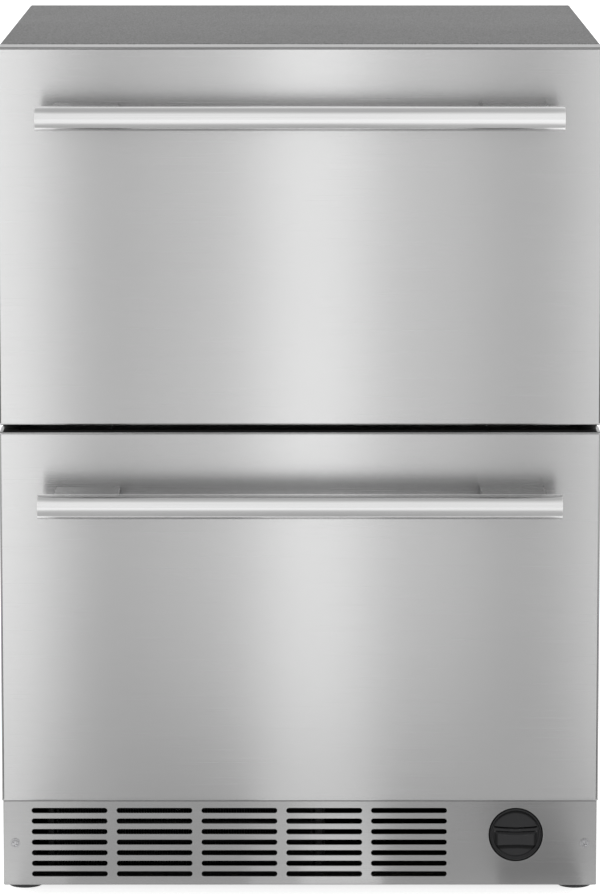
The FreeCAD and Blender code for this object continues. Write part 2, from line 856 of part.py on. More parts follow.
def make_toe_grille():
    """Steel tray with rounded slots in columns, the filter hole and two screw holes."""
    body = new_body("toe_grille")
    outside = rectangle("-case_half", "case_half", "grille_bottom_gap", "grille_top")
    pad(body, "XZ", [outside], "grille_front_y", "case_front_y")
    inside = rectangle(
        "-(case_half - grille_sheet)", "case_half - grille_sheet",
        "grille_bottom_gap + grille_sheet", "grille_top - grille_sheet")
    pocket(body, "XZ", [inside], "grille_back_y", "case_front_y")
    holes = [facets("filter_x", "filter_height", "grille_hole_radius", CAP_SIDES)]
    holes += [screw_hole(side) for side in (-1, 1)]
    pocket(body, "XZ", holes, "grille_front_y", "grille_back_y")
    first = slot("slot_first_x", "slot_first_z", "slot_length", "slot_height")
    cut = pocket(body, "XZ", [first], "grille_front_y", "grille_back_y")
    grid_of(body, cut, "slot_pitch_across", "slot_columns", "slot_pitch_down", "slot_rows")


def make_grille_screws():
    """Two pan-head screws with their washers."""
    body = new_body("grille_screws")
    layers = [
        (facets("screw_x", "screw_height", "screw_head_radius", SCREW_SIDES),
         "grille_front_y - screw_proud", "grille_front_y - screw_washer_thick"),
        (facets("screw_x", "screw_height", "screw_washer_radius", SCREW_SIDES),
         "grille_front_y - screw_washer_thick", "grille_front_y"),
        (facets("screw_x", "screw_height", "screw_shank_radius", SCREW_SIDES),
         "grille_front_y", "grille_front_y + screw_length")]
    mirrored(body, [pad(body, "XZ", [outline], start, stop) for outline, start, stop in layers])


# ---------------------------------------------------------------- water filter
BARREL_SIDES = 20
PORT_SIDES = 8


def make_filter():
    """Housing tube on two saddles, turning ring, cartridge with lugs, and cap."""
    housing = new_body("filter_housing")
    back = "filter_back_y + ring_length + filter_play"
    barrel = facets("filter_x", "filter_height", "housing_radius", BARREL_SIDES)
    pad(housing, "XZ", [barrel], "housing_front_y", f"{back} + housing_wall")
    bore = circle("filter_x", "filter_height", "housing_bore")
    pocket(housing, "XZ", [bore], "housing_front_y", back)
    ports = [
        facets(f"filter_x + {side} * port_spread", "filter_height", "port_radius", PORT_SIDES)
        for side in (-1, 1)]
    pad(housing, "XZ", ports, f"{back} + housing_wall", f"{back} + housing_wall + port_length")
    saddle_top = "filter_height - housing_bore - housing_wall / 2"
    saddle = polygon(
        ("filter_x - saddle_foot_half", "pan_top"), ("filter_x + saddle_foot_half", "pan_top"),
        ("filter_x + saddle_top_half", saddle_top), ("filter_x - saddle_top_half", saddle_top))
    for start in ("housing_front_y + front_saddle_setback", "filter_back_y - rear_saddle_setback"):
        pad(housing, "XZ", [saddle], start, f"{start} + saddle_length")

    ring = new_body("filter_valve_ring")
    pad(ring, "XZ", [facets("0", "0", "housing_bore - filter_play", BARREL_SIDES)],
        "0", "ring_length")
    pocket(ring, "XZ", [facets("0", "0", "filter_neck_radius + filter_play", BARREL_SIDES)],
           "0", "ring_length - ring_floor")
    reach = "filter_neck_radius + filter_lug_reach + filter_play"
    half = "filter_lug_width / 2 + filter_play"
    keyway = rectangle(f"-({reach})", reach, f"-({half})", half)
    pocket(ring, "XZ", [keyway], "0", "ring_length - ring_floor")
    move_to(ring, "filter_x", "filter_back_y", "filter_height")

    cartridge = new_body("filter_cartridge")
    pad(cartridge, "XZ", [facets("0", "0", "filter_radius", BARREL_SIDES)],
        "0", "filter_length - filter_play")
    pad(cartridge, "XZ", [facets("0", "0", "filter_neck_radius", BARREL_SIDES)],
        "filter_length - filter_play", "filter_length + filter_neck_length")
    reach = "filter_neck_radius + filter_lug_reach"
    lugs = rectangle(f"-({reach})", reach, "-filter_lug_width / 2", "filter_lug_width / 2")
    pad(cartridge, "XZ", [lugs], "filter_length + filter_lug_start",
        "filter_length + filter_lug_start + filter_lug_length")
    move_to(cartridge, "filter_x", "cap_back_y", "filter_height")

    cap = new_body("filter_cap")
    front = "grille_front_y - cap_proud"
    seat = f"{front} + cap_rim_depth"
    rim = pad(cap, "XZ", [facets("filter_x", "filter_height", "cap_rim_radius", CAP_SIDES)],
              front, seat)
    face = value(front)
    dressed(cap, "Chamfer", rim, "cap_edge",
            lambda edge: abs(edge.BoundBox.YMax - face) < 0.01)
    pad(cap, "XZ", [facets("filter_x", "filter_height", "barrel_radius", CAP_SIDES)],
        seat, "cap_back_y")
    dish_floor = f"{front} + cap_dish_depth"
    pocket(cap, "XZ", [facets("filter_x", "filter_height", "cap_dish_radius", CAP_SIDES)],
           front, dish_floor)
    sections = []
    for shrink, height in (("0", "-cap_grip_root"), ("cap_grip_taper", "cap_grip_height")):
        right = f"filter_x + (cap_grip_length / 2 - {shrink})"
        left = f"filter_x - (cap_grip_length / 2 - {shrink})"
        top = f"filter_height - cap_grip_drop + (cap_grip_width / 2 - {shrink} / 2)"
        bottom = f"filter_height - cap_grip_drop - (cap_grip_width / 2 - {shrink} / 2)"
        grip = polygon(
            (f"{left} + cap_grip_corner_across", bottom),
            (f"{right} - cap_grip_corner_across", bottom),
            (right, f"{bottom} + cap_grip_corner_up"), (right, top),
            (left, top), (left, f"{bottom} + cap_grip_corner_up"))
        shift = f"{height} - ({dish_floor})"
        sections.append(new_sketch(cap, "XZ", [grip], ("0", "0", shift)))
    bar = cap.newObject("PartDesign::AdditiveLoft", "filter_cap_grip")
    bar.Profile = sections[0]
    bar.Sections = sections[1:]
    bar.Ruled = True


# ---------------------------------------------------------------- condenser side
RING_SIDES = 24
SHELL_SIDES = 20
HUB_SIDES = 10
DRIER_SIDES = 12
SMALL_SIDES = 8


def make_condenser():
    """Flat-tube condenser: two upright headers, level tubes and upright fins between them."""
    body = new_body("condenser")
    half = "condenser_width / 2 - condenser_header_width"
    header = pad(
        body, "XY", [rectangle(half, "condenser_width / 2", "0", "condenser_depth")],
        "-condenser_lift", "condenser_height")
    mirrored(body, [header])
    climb = "condenser_height - 2 * condenser_tube_margin - condenser_tube_height"
    tube = pad(
        body, "XZ", [rectangle(f"-({half})", half, "condenser_tube_margin",
                               "condenser_tube_margin + condenser_tube_height")],
        "condenser_tube_inset", "condenser_depth - condenser_tube_inset")
    row_of(body, tube, "V_Axis", f"({climb}) / (condenser_tubes - 1)", "condenser_tubes")
    inner = "condenser_width / 2 - condenser_header_width - condenser_fin_margin"
    fin = pad(
        body, "XZ", [rectangle(f"-({inner})", f"-({inner}) + condenser_fin_thick", "0",
                               "condenser_height - condenser_fin_inset")],
        "condenser_fin_inset", "condenser_depth - condenser_fin_inset")
    row_of(body, fin, "H_Axis", f"2 * ({inner}) / (condenser_fins - 1)", "condenser_fins")
    move_to(body, "condenser_x", "condenser_y", "condenser_z")


def make_fan(label, x, y, z):
    """Axial fan about the Y axis: a hub on the motor's shaft and pitched flat blades."""
    body = new_body(label)
    bore = "fan_shaft_radius + fan_shaft_clearance"
    hub = pad(body, "XZ", [facets("0", "0", "fan_hub_radius", HUB_SIDES)], "0", "fan_hub_length")
    low = "fan_hub_length / 2 - fan_pitch_rise / 2 - fan_blade_thick / 2"
    high = "fan_hub_length / 2 + fan_pitch_rise / 2 - fan_blade_thick / 2"
    section = polygon(
        (low, "-fan_chord / 2"), (f"{low} + fan_blade_thick", "-fan_chord / 2"),
        (f"{high} + fan_blade_thick", "fan_chord / 2"), (high, "fan_chord / 2"))
    tip = "sqrt(fan_radius * fan_radius - fan_chord * fan_chord / 4)"
    blade = pad(body, "YZ", [section], "fan_hub_radius / 2", tip)
    ring_of(body, [blade], hub.Profile[0], "N_Axis", "fan_blades")
    pocket(body, "XZ", [circle("0", "0", bore)], "fan_hub_floor", "fan_hub_length")
    move_to(body, x, y, z)


def make_motor(label, x, y, z):
    """Fan motor block with its shaft to the front and three arms out to the fan ring."""
    body = new_body(label)
    half = "fan_motor_width / 2"
    block = rectangle(f"-{half}", half, f"-{half}", half)
    pad(body, "XZ", [block], "0", "fan_motor_length")
    shaft = pad(body, "XZ", [circle("0", "0", "fan_shaft_radius")], "-fan_shaft_length", "0")
    arm = pad(
        body, "XZ", [rectangle(
            "-fan_arm_half", "fan_arm_half", "0", "fan_hole + shroud_sheet / 2")],
        "0", "fan_arm_thick")
    ring_of(body, [arm], shaft.Profile[0], "N_Axis", "fan_arms")
    move_to(body, x, y, z)


def make_condenser_fan():
    shroud = new_body("condenser_fan_shroud")
    left = "condenser_x - condenser_width / 2 + condenser_header_width"
    right = "condenser_x + condenser_width / 2"
    plate = rectangle(left, right, "pan_top", "condenser_z + condenser_height")
    pad(shroud, "XZ", [plate], "shroud_y", "shroud_y + shroud_sheet")
    collar = facets("condenser_x", "fan_z", "fan_hole + shroud_sheet", RING_SIDES)
    pad(shroud, "XZ", [collar], "shroud_y", "shroud_y + shroud_ring_depth")
    pocket(shroud, "XZ", [facets("condenser_x", "fan_z", "fan_hole", RING_SIDES)],
           "shroud_y", "shroud_y + shroud_ring_depth")
    make_fan("condenser_fan_blade", "condenser_x", "fan_y", "fan_z")
    make_motor("condenser_fan_motor", "condenser_x", "motor_y", "fan_z")


def make_compressor():
    """Welded shell with a seam, feet plate, terminal cover and pipe stub on rubber mounts."""
    body = new_body("compressor")
    seam = "compressor_seam_height"
    lid = "compressor_seam_height + compressor_seam_thick"
    pad(body, "XY", [facets("0", "0", "compressor_radius", SHELL_SIDES)], "0", seam)
    pad(body, "XY", [facets("0", "0", "compressor_radius + compressor_seam_reach", SHELL_SIDES)],
        seam, lid)
    shell = pad(
        body, "XY", [facets("0", "0", "compressor_radius - compressor_lid_step", SHELL_SIDES)],
        lid, "compressor_height")
    top = value("compressor_height")
    dressed(body, "Chamfer", shell, "compressor_bevel",
            lambda edge: abs(edge.BoundBox.ZMin - top) < 0.01)
    reach = "grommet_spread + compressor_plate_margin"
    pad(body, "XY", [rectangle(f"-({reach})", reach, f"-({reach})", reach)],
        "0", "compressor_plate_thick")
    corners = [(f"{a} * grommet_spread", f"{b} * grommet_spread") for a in (-1, 1) for b in (-1, 1)]
    holes = [facets(x, y, "grommet_neck_radius + filter_play", SMALL_SIDES) for x, y in corners]
    pocket(body, "XY", holes, "0", "compressor_plate_thick")
    cover = rectangle(
        "compressor_radius - terminal_overlap", "compressor_radius + terminal_reach",
        "-terminal_half_width", "terminal_half_width")
    pad(body, "XY", [cover], "terminal_bottom", f"{seam} - terminal_top_gap")
    stub = circle("-discharge_shift", "discharge_height", "pipe_radius + discharge_wall")
    pad(body, "XZ", [stub], "-(compressor_radius + discharge_reach)",
        "-(compressor_radius - discharge_overlap)")
    move_to(body, "compressor_x", "compressor_y", "compressor_z")

    mounts = new_body("compressor_mounts")
    blocks = [facets(x, y, "grommet_radius", SMALL_SIDES) for x, y in corners]
    necks = [facets(x, y, "grommet_neck_radius", SMALL_SIDES) for x, y in corners]
    caps = [facets(x, y, "grommet_neck_radius + grommet_cap_reach", SMALL_SIDES)
            for x, y in corners]
    plate_top = "grommet_height + compressor_plate_thick"
    pad(mounts, "XY", blocks, "0", "grommet_height")
    pad(mounts, "XY", necks, "grommet_height", plate_top)
    pad(mounts, "XY", caps, plate_top, f"{plate_top} + grommet_cap_height")
    move_to(mounts, "compressor_x", "compressor_y", "pan_top")


def make_machine_fittings():
    """Drain pan, filter-drier, water valve and power inlet."""
    tray = new_body("drain_pan")
    half_x = "drain_pan_width / 2"
    half_y = "drain_pan_depth / 2"
    pad(tray, "XY", [rectangle(f"-({half_x})", half_x, f"-({half_y})", half_y)],
        "0", "drain_pan_height")
    pocket(tray, "XY", [rectangle(
        f"-({half_x}) + drain_pan_wall", f"{half_x} - drain_pan_wall",
        f"-({half_y}) + drain_pan_wall", f"{half_y} - drain_pan_wall")],
        "drain_pan_wall", "drain_pan_height")
    move_to(tray, "drain_pan_x", "drain_pan_y", "pan_top")

    drier = new_body("filter_drier")
    pad(drier, "XZ", [facets("0", "0", "pipe_radius", SMALL_SIDES)], "0", "drier_length")
    pad(drier, "XZ", [facets("0", "0", "drier_radius", DRIER_SIDES)],
        "drier_stub", "drier_length - drier_stub")
    clip = rectangle("-drier_clip_half", "drier_clip_half", "-(drier_radius + drier_lift)", "0")
    pad(drier, "XZ", [clip], "(drier_length - drier_clip_length) / 2",
        "(drier_length + drier_clip_length) / 2")
    move_to(drier, "drier_inset - inside_half", "machine_front_y - drier_length",
            "pan_top + drier_radius + drier_lift")

    valve = new_body("water_valve")
    block = rectangle("-valve_half_width", "valve_half_width", "-valve_drop", "valve_rise")
    pad(valve, "XZ", [block], "-(cover_sheet + valve_depth)", "-cover_sheet")
    pad(valve, "XY", [facets("0", "-solenoid_setback", "solenoid_radius", SMALL_SIDES)],
        "valve_rise", "valve_rise + solenoid_height")
    thread = circle("0", "0", "inlet_radius")
    pad(valve, "XZ", [thread], "-cover_sheet", "inlet_length")
    pocket(valve, "XZ", [circle("0", "0", "inlet_bore")], "-cover_sheet", "inlet_length")
    move_to(valve, "connection_x", "cover_y + cover_sheet", "connection_height")

    inlet = new_body("power_inlet")
    shell = rectangle("-socket_half_width", "socket_half_width",
                      "-socket_half_height", "socket_half_height")
    pad(inlet, "XZ", [shell], "-socket_depth", "0")
    wide = "socket_half_width + socket_flange"
    high = "socket_half_height + socket_flange"
    pad(inlet, "XZ", [rectangle(f"-({wide})", wide, f"-({high})", high)],
        "0", "socket_flange_thick")
    slope = "socket_bore_top - socket_bore_shoulder"
    socket = polygon(
        ("-socket_bore_half", "-socket_bore_bottom"), ("socket_bore_half", "-socket_bore_bottom"),
        ("socket_bore_half", "socket_bore_shoulder"),
        (f"socket_bore_half - ({slope})", "socket_bore_top"),
        (f"-(socket_bore_half - ({slope}))", "socket_bore_top"),
        ("-socket_bore_half", "socket_bore_shoulder"))
    pocket(inlet, "XZ", [socket], "socket_flange_thick - socket_bore_depth",
           "socket_flange_thick")
    move_to(inlet, "connection_x", "cover_y + cover_sheet", "pan_top + socket_height")


# ---------------------------------------------------------------- cold side
def make_evaporator():
    """Finned flat-tube coil on the shelf behind its cover, with the fan above it."""
    body = new_body("evaporator")
    half = "evaporator_width / 2"
    fin = pad(
        body, "YZ", [rectangle("0", "evaporator_depth", "0", "evaporator_height")],
        f"-({half})", f"-({half}) + evaporator_fin_thick")
    row = body.newObject("PartDesign::LinearPattern", "evaporator_fin_row")
    row.Originals = [fin]
    row.Direction = (fin.Profile[0], ["N_Axis"])
    row.Mode = "Spacing"
    row.setExpression("Offset", link(
        "(evaporator_width - evaporator_fin_thick) / (evaporator_fins - 1)"))
    row.setExpression("Occurrences", link("evaporator_fins"))
    body.Tip = row
    tube = pad(
        body, "XZ", [rectangle(f"-({half})", half, "evaporator_tube_height",
                               "2 * evaporator_tube_height")],
        "evaporator_tube_inset", "evaporator_depth - evaporator_tube_inset")
    row_of(body, tube, "V_Axis",
           "(evaporator_height - 3 * evaporator_tube_height) / (evaporator_tubes - 1)",
           "evaporator_tubes")
    move_to(body, "0", "evaporator_y", "shelf_top")

    cover = new_body("evaporator_cover")
    top = "lower_ceiling - liner_sheet"
    back = "cavity_back_y - liner_sheet"
    pad(cover, "XZ", [rectangle("-cover_width / 2", "cover_width / 2", "shelf_top", top)],
        "cover_front_y", back)
    inside = rectangle(
        "-(cover_width / 2 - cover_wall)", "cover_width / 2 - cover_wall",
        "shelf_top", f"{top} - cover_wall")
    pocket(cover, "XZ", [inside], "cover_front_y + cover_wall", back)
    pad(cover, "XZ", [facets("0", "evaporator_fan_z", "fan_hole + cover_wall", RING_SIDES),
                      facets("0", "evaporator_fan_z", "fan_hole - cover_wall / 2", RING_SIDES)],
        "cover_front_y", "cover_front_y + shroud_ring_depth")
    pocket(cover, "XZ", [facets("0", "evaporator_fan_z", "fan_hole", RING_SIDES)],
           "cover_front_y", "cover_front_y + shroud_ring_depth")
    intake = rectangle("intake_margin - cover_width / 2",
                       "intake_margin + intake_length - cover_width / 2",
                       "shelf_top + intake_top - intake_height", "shelf_top + intake_top")
    cut = pocket(cover, "XZ", [intake], "cover_front_y", "cover_front_y + cover_wall")
    grid_of(cover, cut, "intake_length + intake_gap", "intake_columns",
            "intake_pitch", "intake_rows")
    make_fan("evaporator_fan_blade", "0", "evaporator_fan_y", "evaporator_fan_z")
    make_motor("evaporator_fan_motor", "0", "cover_front_y + shroud_ring_depth",
               "evaporator_fan_z")


CELL_SIDES = 12


def make_ice_maker():
    """Half-round mould cells under a rake of ejector fingers, with the drive at one end."""
    mould = new_body("ice_mould")
    half = "mould_radius + mould_wall"
    pad(mould, "YZ", [rectangle(f"-({half})", half, f"-({half})", "0")], "0", "mould_length")
    cell = pocket(mould, "YZ", [facets("0", "0", "mould_radius", CELL_SIDES)],
                  "mould_cell_wall", "mould_cell_wall + mould_cell_length")
    row = mould.newObject("PartDesign::LinearPattern", "mould_cells_row")
    row.Originals = [cell]
    row.Direction = (cell.Profile[0], ["N_Axis"])
    row.Mode = "Spacing"
    row.setExpression("Offset", link("mould_cell_length + mould_cell_wall"))
    row.setExpression("Occurrences", link("mould_cells"))
    mould.Tip = row
    pocket(mould, "YZ", [facets("0", "0", "ejector_shaft_radius + filter_play", SMALL_SIDES)],
           "0", "mould_length")
    hangers = [
        rectangle(start, f"{start} + hanger_width", "-hanger_overlap", "mould_drop")
        for start in ("hanger_inset", "mould_length - hanger_inset - hanger_width")]
    pad(mould, "XZ", hangers, f"{half}", f"{half} + hanger_thick")
    move_to(mould, "mould_x", "mould_y", "mould_z")

    drive = new_body("ice_maker_drive")
    box = pad(drive, "YZ", [rectangle(
        f"-({half})", f"{half} + hanger_thick", f"-({half})", "mould_drop")],
              "mould_length", "mould_length + drive_length")
    dressed(drive, "Fillet", box, "drive_edge", lambda edge: runs_along(edge, "X")
            and edge.CenterOfMass.z < 0)
    pocket(drive, "YZ", [circle("0", "0", "ejector_shaft_radius + leg_stem_clearance")],
           "mould_length", "mould_length + drive_bore")
    move_to(drive, "mould_x", "mould_y", "mould_z")

    ejector = new_body("ice_ejector")
    pad(ejector, "YZ", [circle("0", "0", "ejector_shaft_radius")],
        "-ejector_tail", "mould_length + ejector_stub")
    finger_x = "mould_cell_wall + mould_cell_length / 2"
    finger = pad(
        ejector, "XZ", [rectangle(
            f"{finger_x} - ejector_finger_half", f"{finger_x} + ejector_finger_half",
            "0", "ejector_radius")], "-ejector_finger_thick / 2", "ejector_finger_thick / 2")
    row_of(ejector, finger, "H_Axis", "mould_cell_length + mould_cell_wall", "mould_cells")
    move_to(ejector, "mould_x", "mould_y", "mould_z")


def make_controls():
    """Touch panel and lamp under the upper ceiling, and a lamp in the lower cavity."""
    panel = new_body("control_panel")
    ceiling = "upper_ceiling - liner_sheet"
    side = polygon(
        ("slide_front_y", f"{ceiling}"), ("slide_front_y", f"{ceiling} - panel_height / 2"),
        ("slide_front_y + panel_height / 2", f"{ceiling} - panel_height"),
        ("slide_front_y + panel_depth", f"{ceiling} - panel_height"),
        ("slide_front_y + panel_depth + panel_height / 2", f"{ceiling}"))
    pad(panel, "YZ", [side], "-panel_width / 2", "panel_width / 2")
    for label, top, y in (
            ("upper_lamp", ceiling, "slide_front_y + upper_lamp_setback"),
            ("lower_lamp", "lower_ceiling - liner_sheet", "slide_front_y + lower_lamp_setback")):
        lamp = new_body(label)
        outline = rectangle("-lamp_length / 2", "lamp_length / 2", y, f"{y} + lamp_width")
        pad(lamp, "XY", [outline], f"{top} - lamp_thick", top)


# ---------------------------------------------------------------- slides
def both_halves(upper_half):
    """Close a slide's section from its upper half; pairs are depth from the wall and rise."""
    lower_half = [(depth, f"-({rise})") for depth, rise in reversed(upper_half)]
    return upper_half + lower_half


FIXED_SECTION = both_halves([
    ("0", "slide_height / 2"), ("slide_depth - slide_arm_step", "slide_height / 2"),
    ("slide_depth - slide_arm_step", "slide_height / 2 - slide_sheet - slide_lip"),
    ("slide_depth - slide_arm_step - slide_sheet", "slide_height / 2 - slide_sheet - slide_lip"),
    ("slide_depth - slide_arm_step - slide_sheet", "slide_height / 2 - slide_sheet"),
    ("slide_sheet", "slide_height / 2 - slide_sheet")])
MIDDLE_RISE = "slide_height / 2 - slide_sheet - slide_play"
MIDDLE_END = "slide_depth - slide_arm_step - slide_sheet - slide_play"
MIDDLE_SECTION = both_halves([
    ("slide_sheet + slide_play", MIDDLE_RISE), (MIDDLE_END, MIDDLE_RISE),
    (MIDDLE_END, f"{MIDDLE_RISE} - slide_sheet - slide_lip"),
    (f"{MIDDLE_END} - slide_sheet", f"{MIDDLE_RISE} - slide_sheet - slide_lip"),
    (f"{MIDDLE_END} - slide_sheet", f"{MIDDLE_RISE} - slide_sheet"),
    ("2 * slide_sheet + slide_play", f"{MIDDLE_RISE} - slide_sheet")])
DRAWER_RISE = f"{MIDDLE_RISE} - slide_sheet - slide_play"
DRAWER_START = "2 * (slide_sheet + slide_play)"
DRAWER_NECK = f"{MIDDLE_END} - slide_sheet - slide_play"
DRAWER_ARM = f"{DRAWER_RISE} - slide_lip - slide_play"
DRAWER_SECTION = both_halves([
    ("slide_depth", DRAWER_ARM), (DRAWER_NECK, DRAWER_ARM), (DRAWER_NECK, DRAWER_RISE),
    (DRAWER_START, DRAWER_RISE), (DRAWER_START, f"{DRAWER_RISE} - slide_sheet"),
    (f"{DRAWER_NECK} - slide_sheet", f"{DRAWER_RISE} - slide_sheet"),
    (f"{DRAWER_NECK} - slide_sheet", f"{DRAWER_ARM} - slide_sheet"),
    ("slide_depth - slide_sheet", f"{DRAWER_ARM} - slide_sheet")])


def slide_outline(section, sign, centre):
    return polygon(*[
        (f"{sign} * (wall_x - ({depth}))", f"{centre} + ({rise})") for depth, rise in section])


def make_slides():
    """Three nested members on each side of each drawer."""
    for drawer in ("upper", "lower"):
        centre = f"{drawer}_slide_z"
        end = f"slide_front_y + {drawer}_slide_length"
        for side, sign in (("left", -1), ("right", 1)):
            fixed = new_body(f"{drawer}_{side}_fixed_slide")
            pad(fixed, "XZ", [slide_outline(FIXED_SECTION, sign, centre)], "slide_front_y", end)
        for label, section in ((f"{drawer}_middle_slides", MIDDLE_SECTION),
                               (f"{drawer}_drawer_slides", DRAWER_SECTION)):
            pair = [slide_outline(section, sign, centre) for sign in (-1, 1)]
            pad(new_body(label), "XZ", pair, "slide_front_y", end)


# ---------------------------------------------------------------- drawers
def make_drawer(drawer, front_bottom, front_top, window_bottom, window_top):
    """Steel front, insulated inner panel, gasket, bar handle on two posts, and the bin."""
    skin = new_body(f"{drawer}_front_skin")
    outside = rectangle("-front_half", "front_half", front_bottom, front_top)
    base = pad(skin, "XZ", [outside], "face_y", "panel_back_y - front_sheet")
    face = value("face_y")
    base = dressed(skin, "Fillet", base, "front_edge_radius",
                   lambda edge: abs(edge.CenterOfMass.y - face) < 0.01)
    inside = rectangle(
        "-(front_half - front_sheet)", "front_half - front_sheet",
        f"{front_bottom} + front_sheet", f"{front_top} - front_sheet")
    pocket(skin, "XZ", [inside], "face_y + front_sheet", "panel_back_y - front_sheet")

    panel = new_body(f"{drawer}_inner_panel")
    core = pad(panel, "XZ", [inside], "face_y + front_sheet", "panel_back_y")
    dressed(panel, "Chamfer", core, "front_edge_radius - front_sheet",
            lambda edge: abs(edge.CenterOfMass.y - face) < value("front_sheet") + 0.01)
    dam = rectangle(
        "-(wall_x - dam_inset)", "wall_x - dam_inset",
        f"{window_bottom} + dam_inset", f"{window_top} - dam_inset")
    raised = pad(panel, "XZ", [dam], "panel_back_y", "dam_back_y")
    dam_back = value("dam_back_y")
    dressed(panel, "Chamfer", raised, "dam_depth / 2",
            lambda edge: abs(edge.CenterOfMass.y - dam_back) < 0.01)

    gasket = new_body(f"{drawer}_gasket")
    inner = "wall_x + gasket_inset"
    outer = f"{inner} + gasket_width"
    loops = [
        rectangle(f"-({outer})", outer, f"{window_bottom} - gasket_inset - gasket_width",
                  f"{window_top} + gasket_inset + gasket_width"),
        rectangle(f"-({inner})", inner, f"{window_bottom} - gasket_inset",
                  f"{window_top} + gasket_inset")]
    ring = pad(gasket, "XZ", loops, "panel_back_y", "case_front_y - gasket_clearance")
    doc.recompute()
    dressed(gasket, "Chamfer", ring, "gasket_edge", lambda edge: abs(
        edge.CenterOfMass.y - value("case_front_y - gasket_clearance")) < 0.01)

    bar_z = f"{drawer}_bar_z"
    bar = new_body(f"{drawer}_handle_bar")
    profile = [
        ("-bar_length / 2", "0"), ("-bar_length / 2", "bar_radius - bar_chamfer"),
        ("-bar_length / 2 + bar_chamfer", "bar_radius"),
        ("bar_length / 2 - bar_chamfer", "bar_radius"),
        ("bar_length / 2", "bar_radius - bar_chamfer"), ("bar_length / 2", "0")]
    turned(bar, profile, "bar_y", bar_z)

    posts = new_body(f"{drawer}_handle_posts")
    post_outer = "bar_length / 2 - post_inset"
    outline = rectangle(
        f"{post_outer} - post_width", post_outer,
        f"{bar_z} - post_height / 2", f"{bar_z} + post_height / 2")
    post = pad(posts, "XZ", [outline], "bar_y", "face_y")
    both = mirrored(posts, [post])
    doc.recompute()
    dressed(posts, "Chamfer", both, "post_corner", lambda edge: runs_along(edge, "Y"))
    pocket(posts, "YZ", [circle("bar_y", bar_z, "bar_radius + saddle_clearance")],
           "-bar_length / 2", "bar_length / 2")

    tub = new_body(f"{drawer}_bin")
    front = "dam_back_y"
    back = f"dam_back_y + {drawer}_bin_depth"
    bottom = f"{drawer}_bin_bottom"
    top = f"{drawer}_bin_bottom + {drawer}_bin_height"
    outside = rounded_rectangle("-bin_half", "bin_half", front, back, "bin_corner")
    pad(tub, "XY", [outside], bottom, top)
    rim = rectangle("-(bin_half + bin_rim)", "bin_half + bin_rim", front, f"{back} + bin_rim")
    pad(tub, "XY", [rim], f"{top} - bin_wall", top)
    inner_box = rounded_rectangle(
        "-(bin_half - bin_wall)", "bin_half - bin_wall", f"{front} + bin_wall",
        f"{back} - bin_wall", "bin_corner - bin_wall")
    pocket(tub, "XY", [inner_box], f"{bottom} + bin_wall", top)


def make_ice_bin():
    body = new_body("ice_bin")
    left = "ice_bin_margin + bin_wall - bin_half"
    right = f"{left} + ice_bin_width"
    front = "dam_back_y + bin_wall + ice_bin_margin"
    back = "dam_back_y + lower_bin_depth - bin_wall - ice_bin_margin"
    bottom = "lower_bin_bottom + bin_wall"
    top = f"{bottom} + ice_bin_height"
    outside = rounded_rectangle(left, right, front, back, "bin_corner")
    pad(body, "XY", [outside], bottom, top)
    inside = rounded_rectangle(
        f"{left} + bin_wall", f"{right} - bin_wall", f"{front} + bin_wall",
        f"{back} - bin_wall", "bin_corner - bin_wall")
    pocket(body, "XY", [inside], f"{bottom} + bin_wall", top)


def make_pipes():
    """Copper discharge line from the compressor to the condenser's header."""
    pipe = doc.addObject("Part::Feature", "refrigerant_lines")
    pipe.Label = "refrigerant_lines"
    radius = value("pipe_radius")
    bend = value("pipe_bend")
    start_x = value("compressor_x - discharge_shift")
    start_y = value("compressor_y - compressor_radius - discharge_reach")
    run_y = start_y - value("pipe_run_gap")
    level = value("compressor_z + discharge_height")
    header_x = value("condenser_x - condenser_width / 2 + condenser_header_width / 2")
    header_y = value("condenser_y + condenser_depth")
    corners = [
        FreeCAD.Vector(start_x, start_y, level), FreeCAD.Vector(start_x, run_y, level),
        FreeCAD.Vector(header_x, run_y, level), FreeCAD.Vector(header_x, header_y, level)]
    spots = [corners[0]]
    for before, corner, after in zip(corners, corners[1:], corners[2:]):
        spots.append(corner + (before - corner).normalize() * bend)
        spots.append(corner + (after - corner).normalize() * bend)
    spots.append(corners[-1])
    path = Part.makePolygon(spots)
    around = [index * math.pi / 4 for index in range(9)]
    section = Part.makePolygon([
        corners[0] + FreeCAD.Vector(math.cos(angle), 0, math.sin(angle)) * radius
        for angle in around])
    mitred = 1
    pipe.Shape = path.makePipeShell([section], True, False, mitred)
    pipe.Placement = FreeCAD.Placement()
    made.append(pipe)


make_outer_wrap()
make_rear_panel()
make_insulation()
make_liners()
make_face_frame()
make_machine_cover()
make_base_pan()
for leg_label, (leg_side, leg_y) in LEG_PLACES.items():
    make_leg(leg_label, leg_side, leg_y)
make_toe_grille()
make_grille_screws()
make_filter()
make_condenser()
make_condenser_fan()
make_compressor()
make_machine_fittings()
make_evaporator()
make_ice_maker()
make_controls()
make_slides()
make_drawer("upper", "upper_front_bottom", "case_top",
            "upper_floor + liner_sheet", "upper_ceiling - liner_sheet")
make_drawer("lower", "lower_front_bottom", "lower_front_top",
            "lower_floor + liner_sheet", "lower_ceiling - liner_sheet")
make_ice_bin()
make_pipes()
doc.recompute()

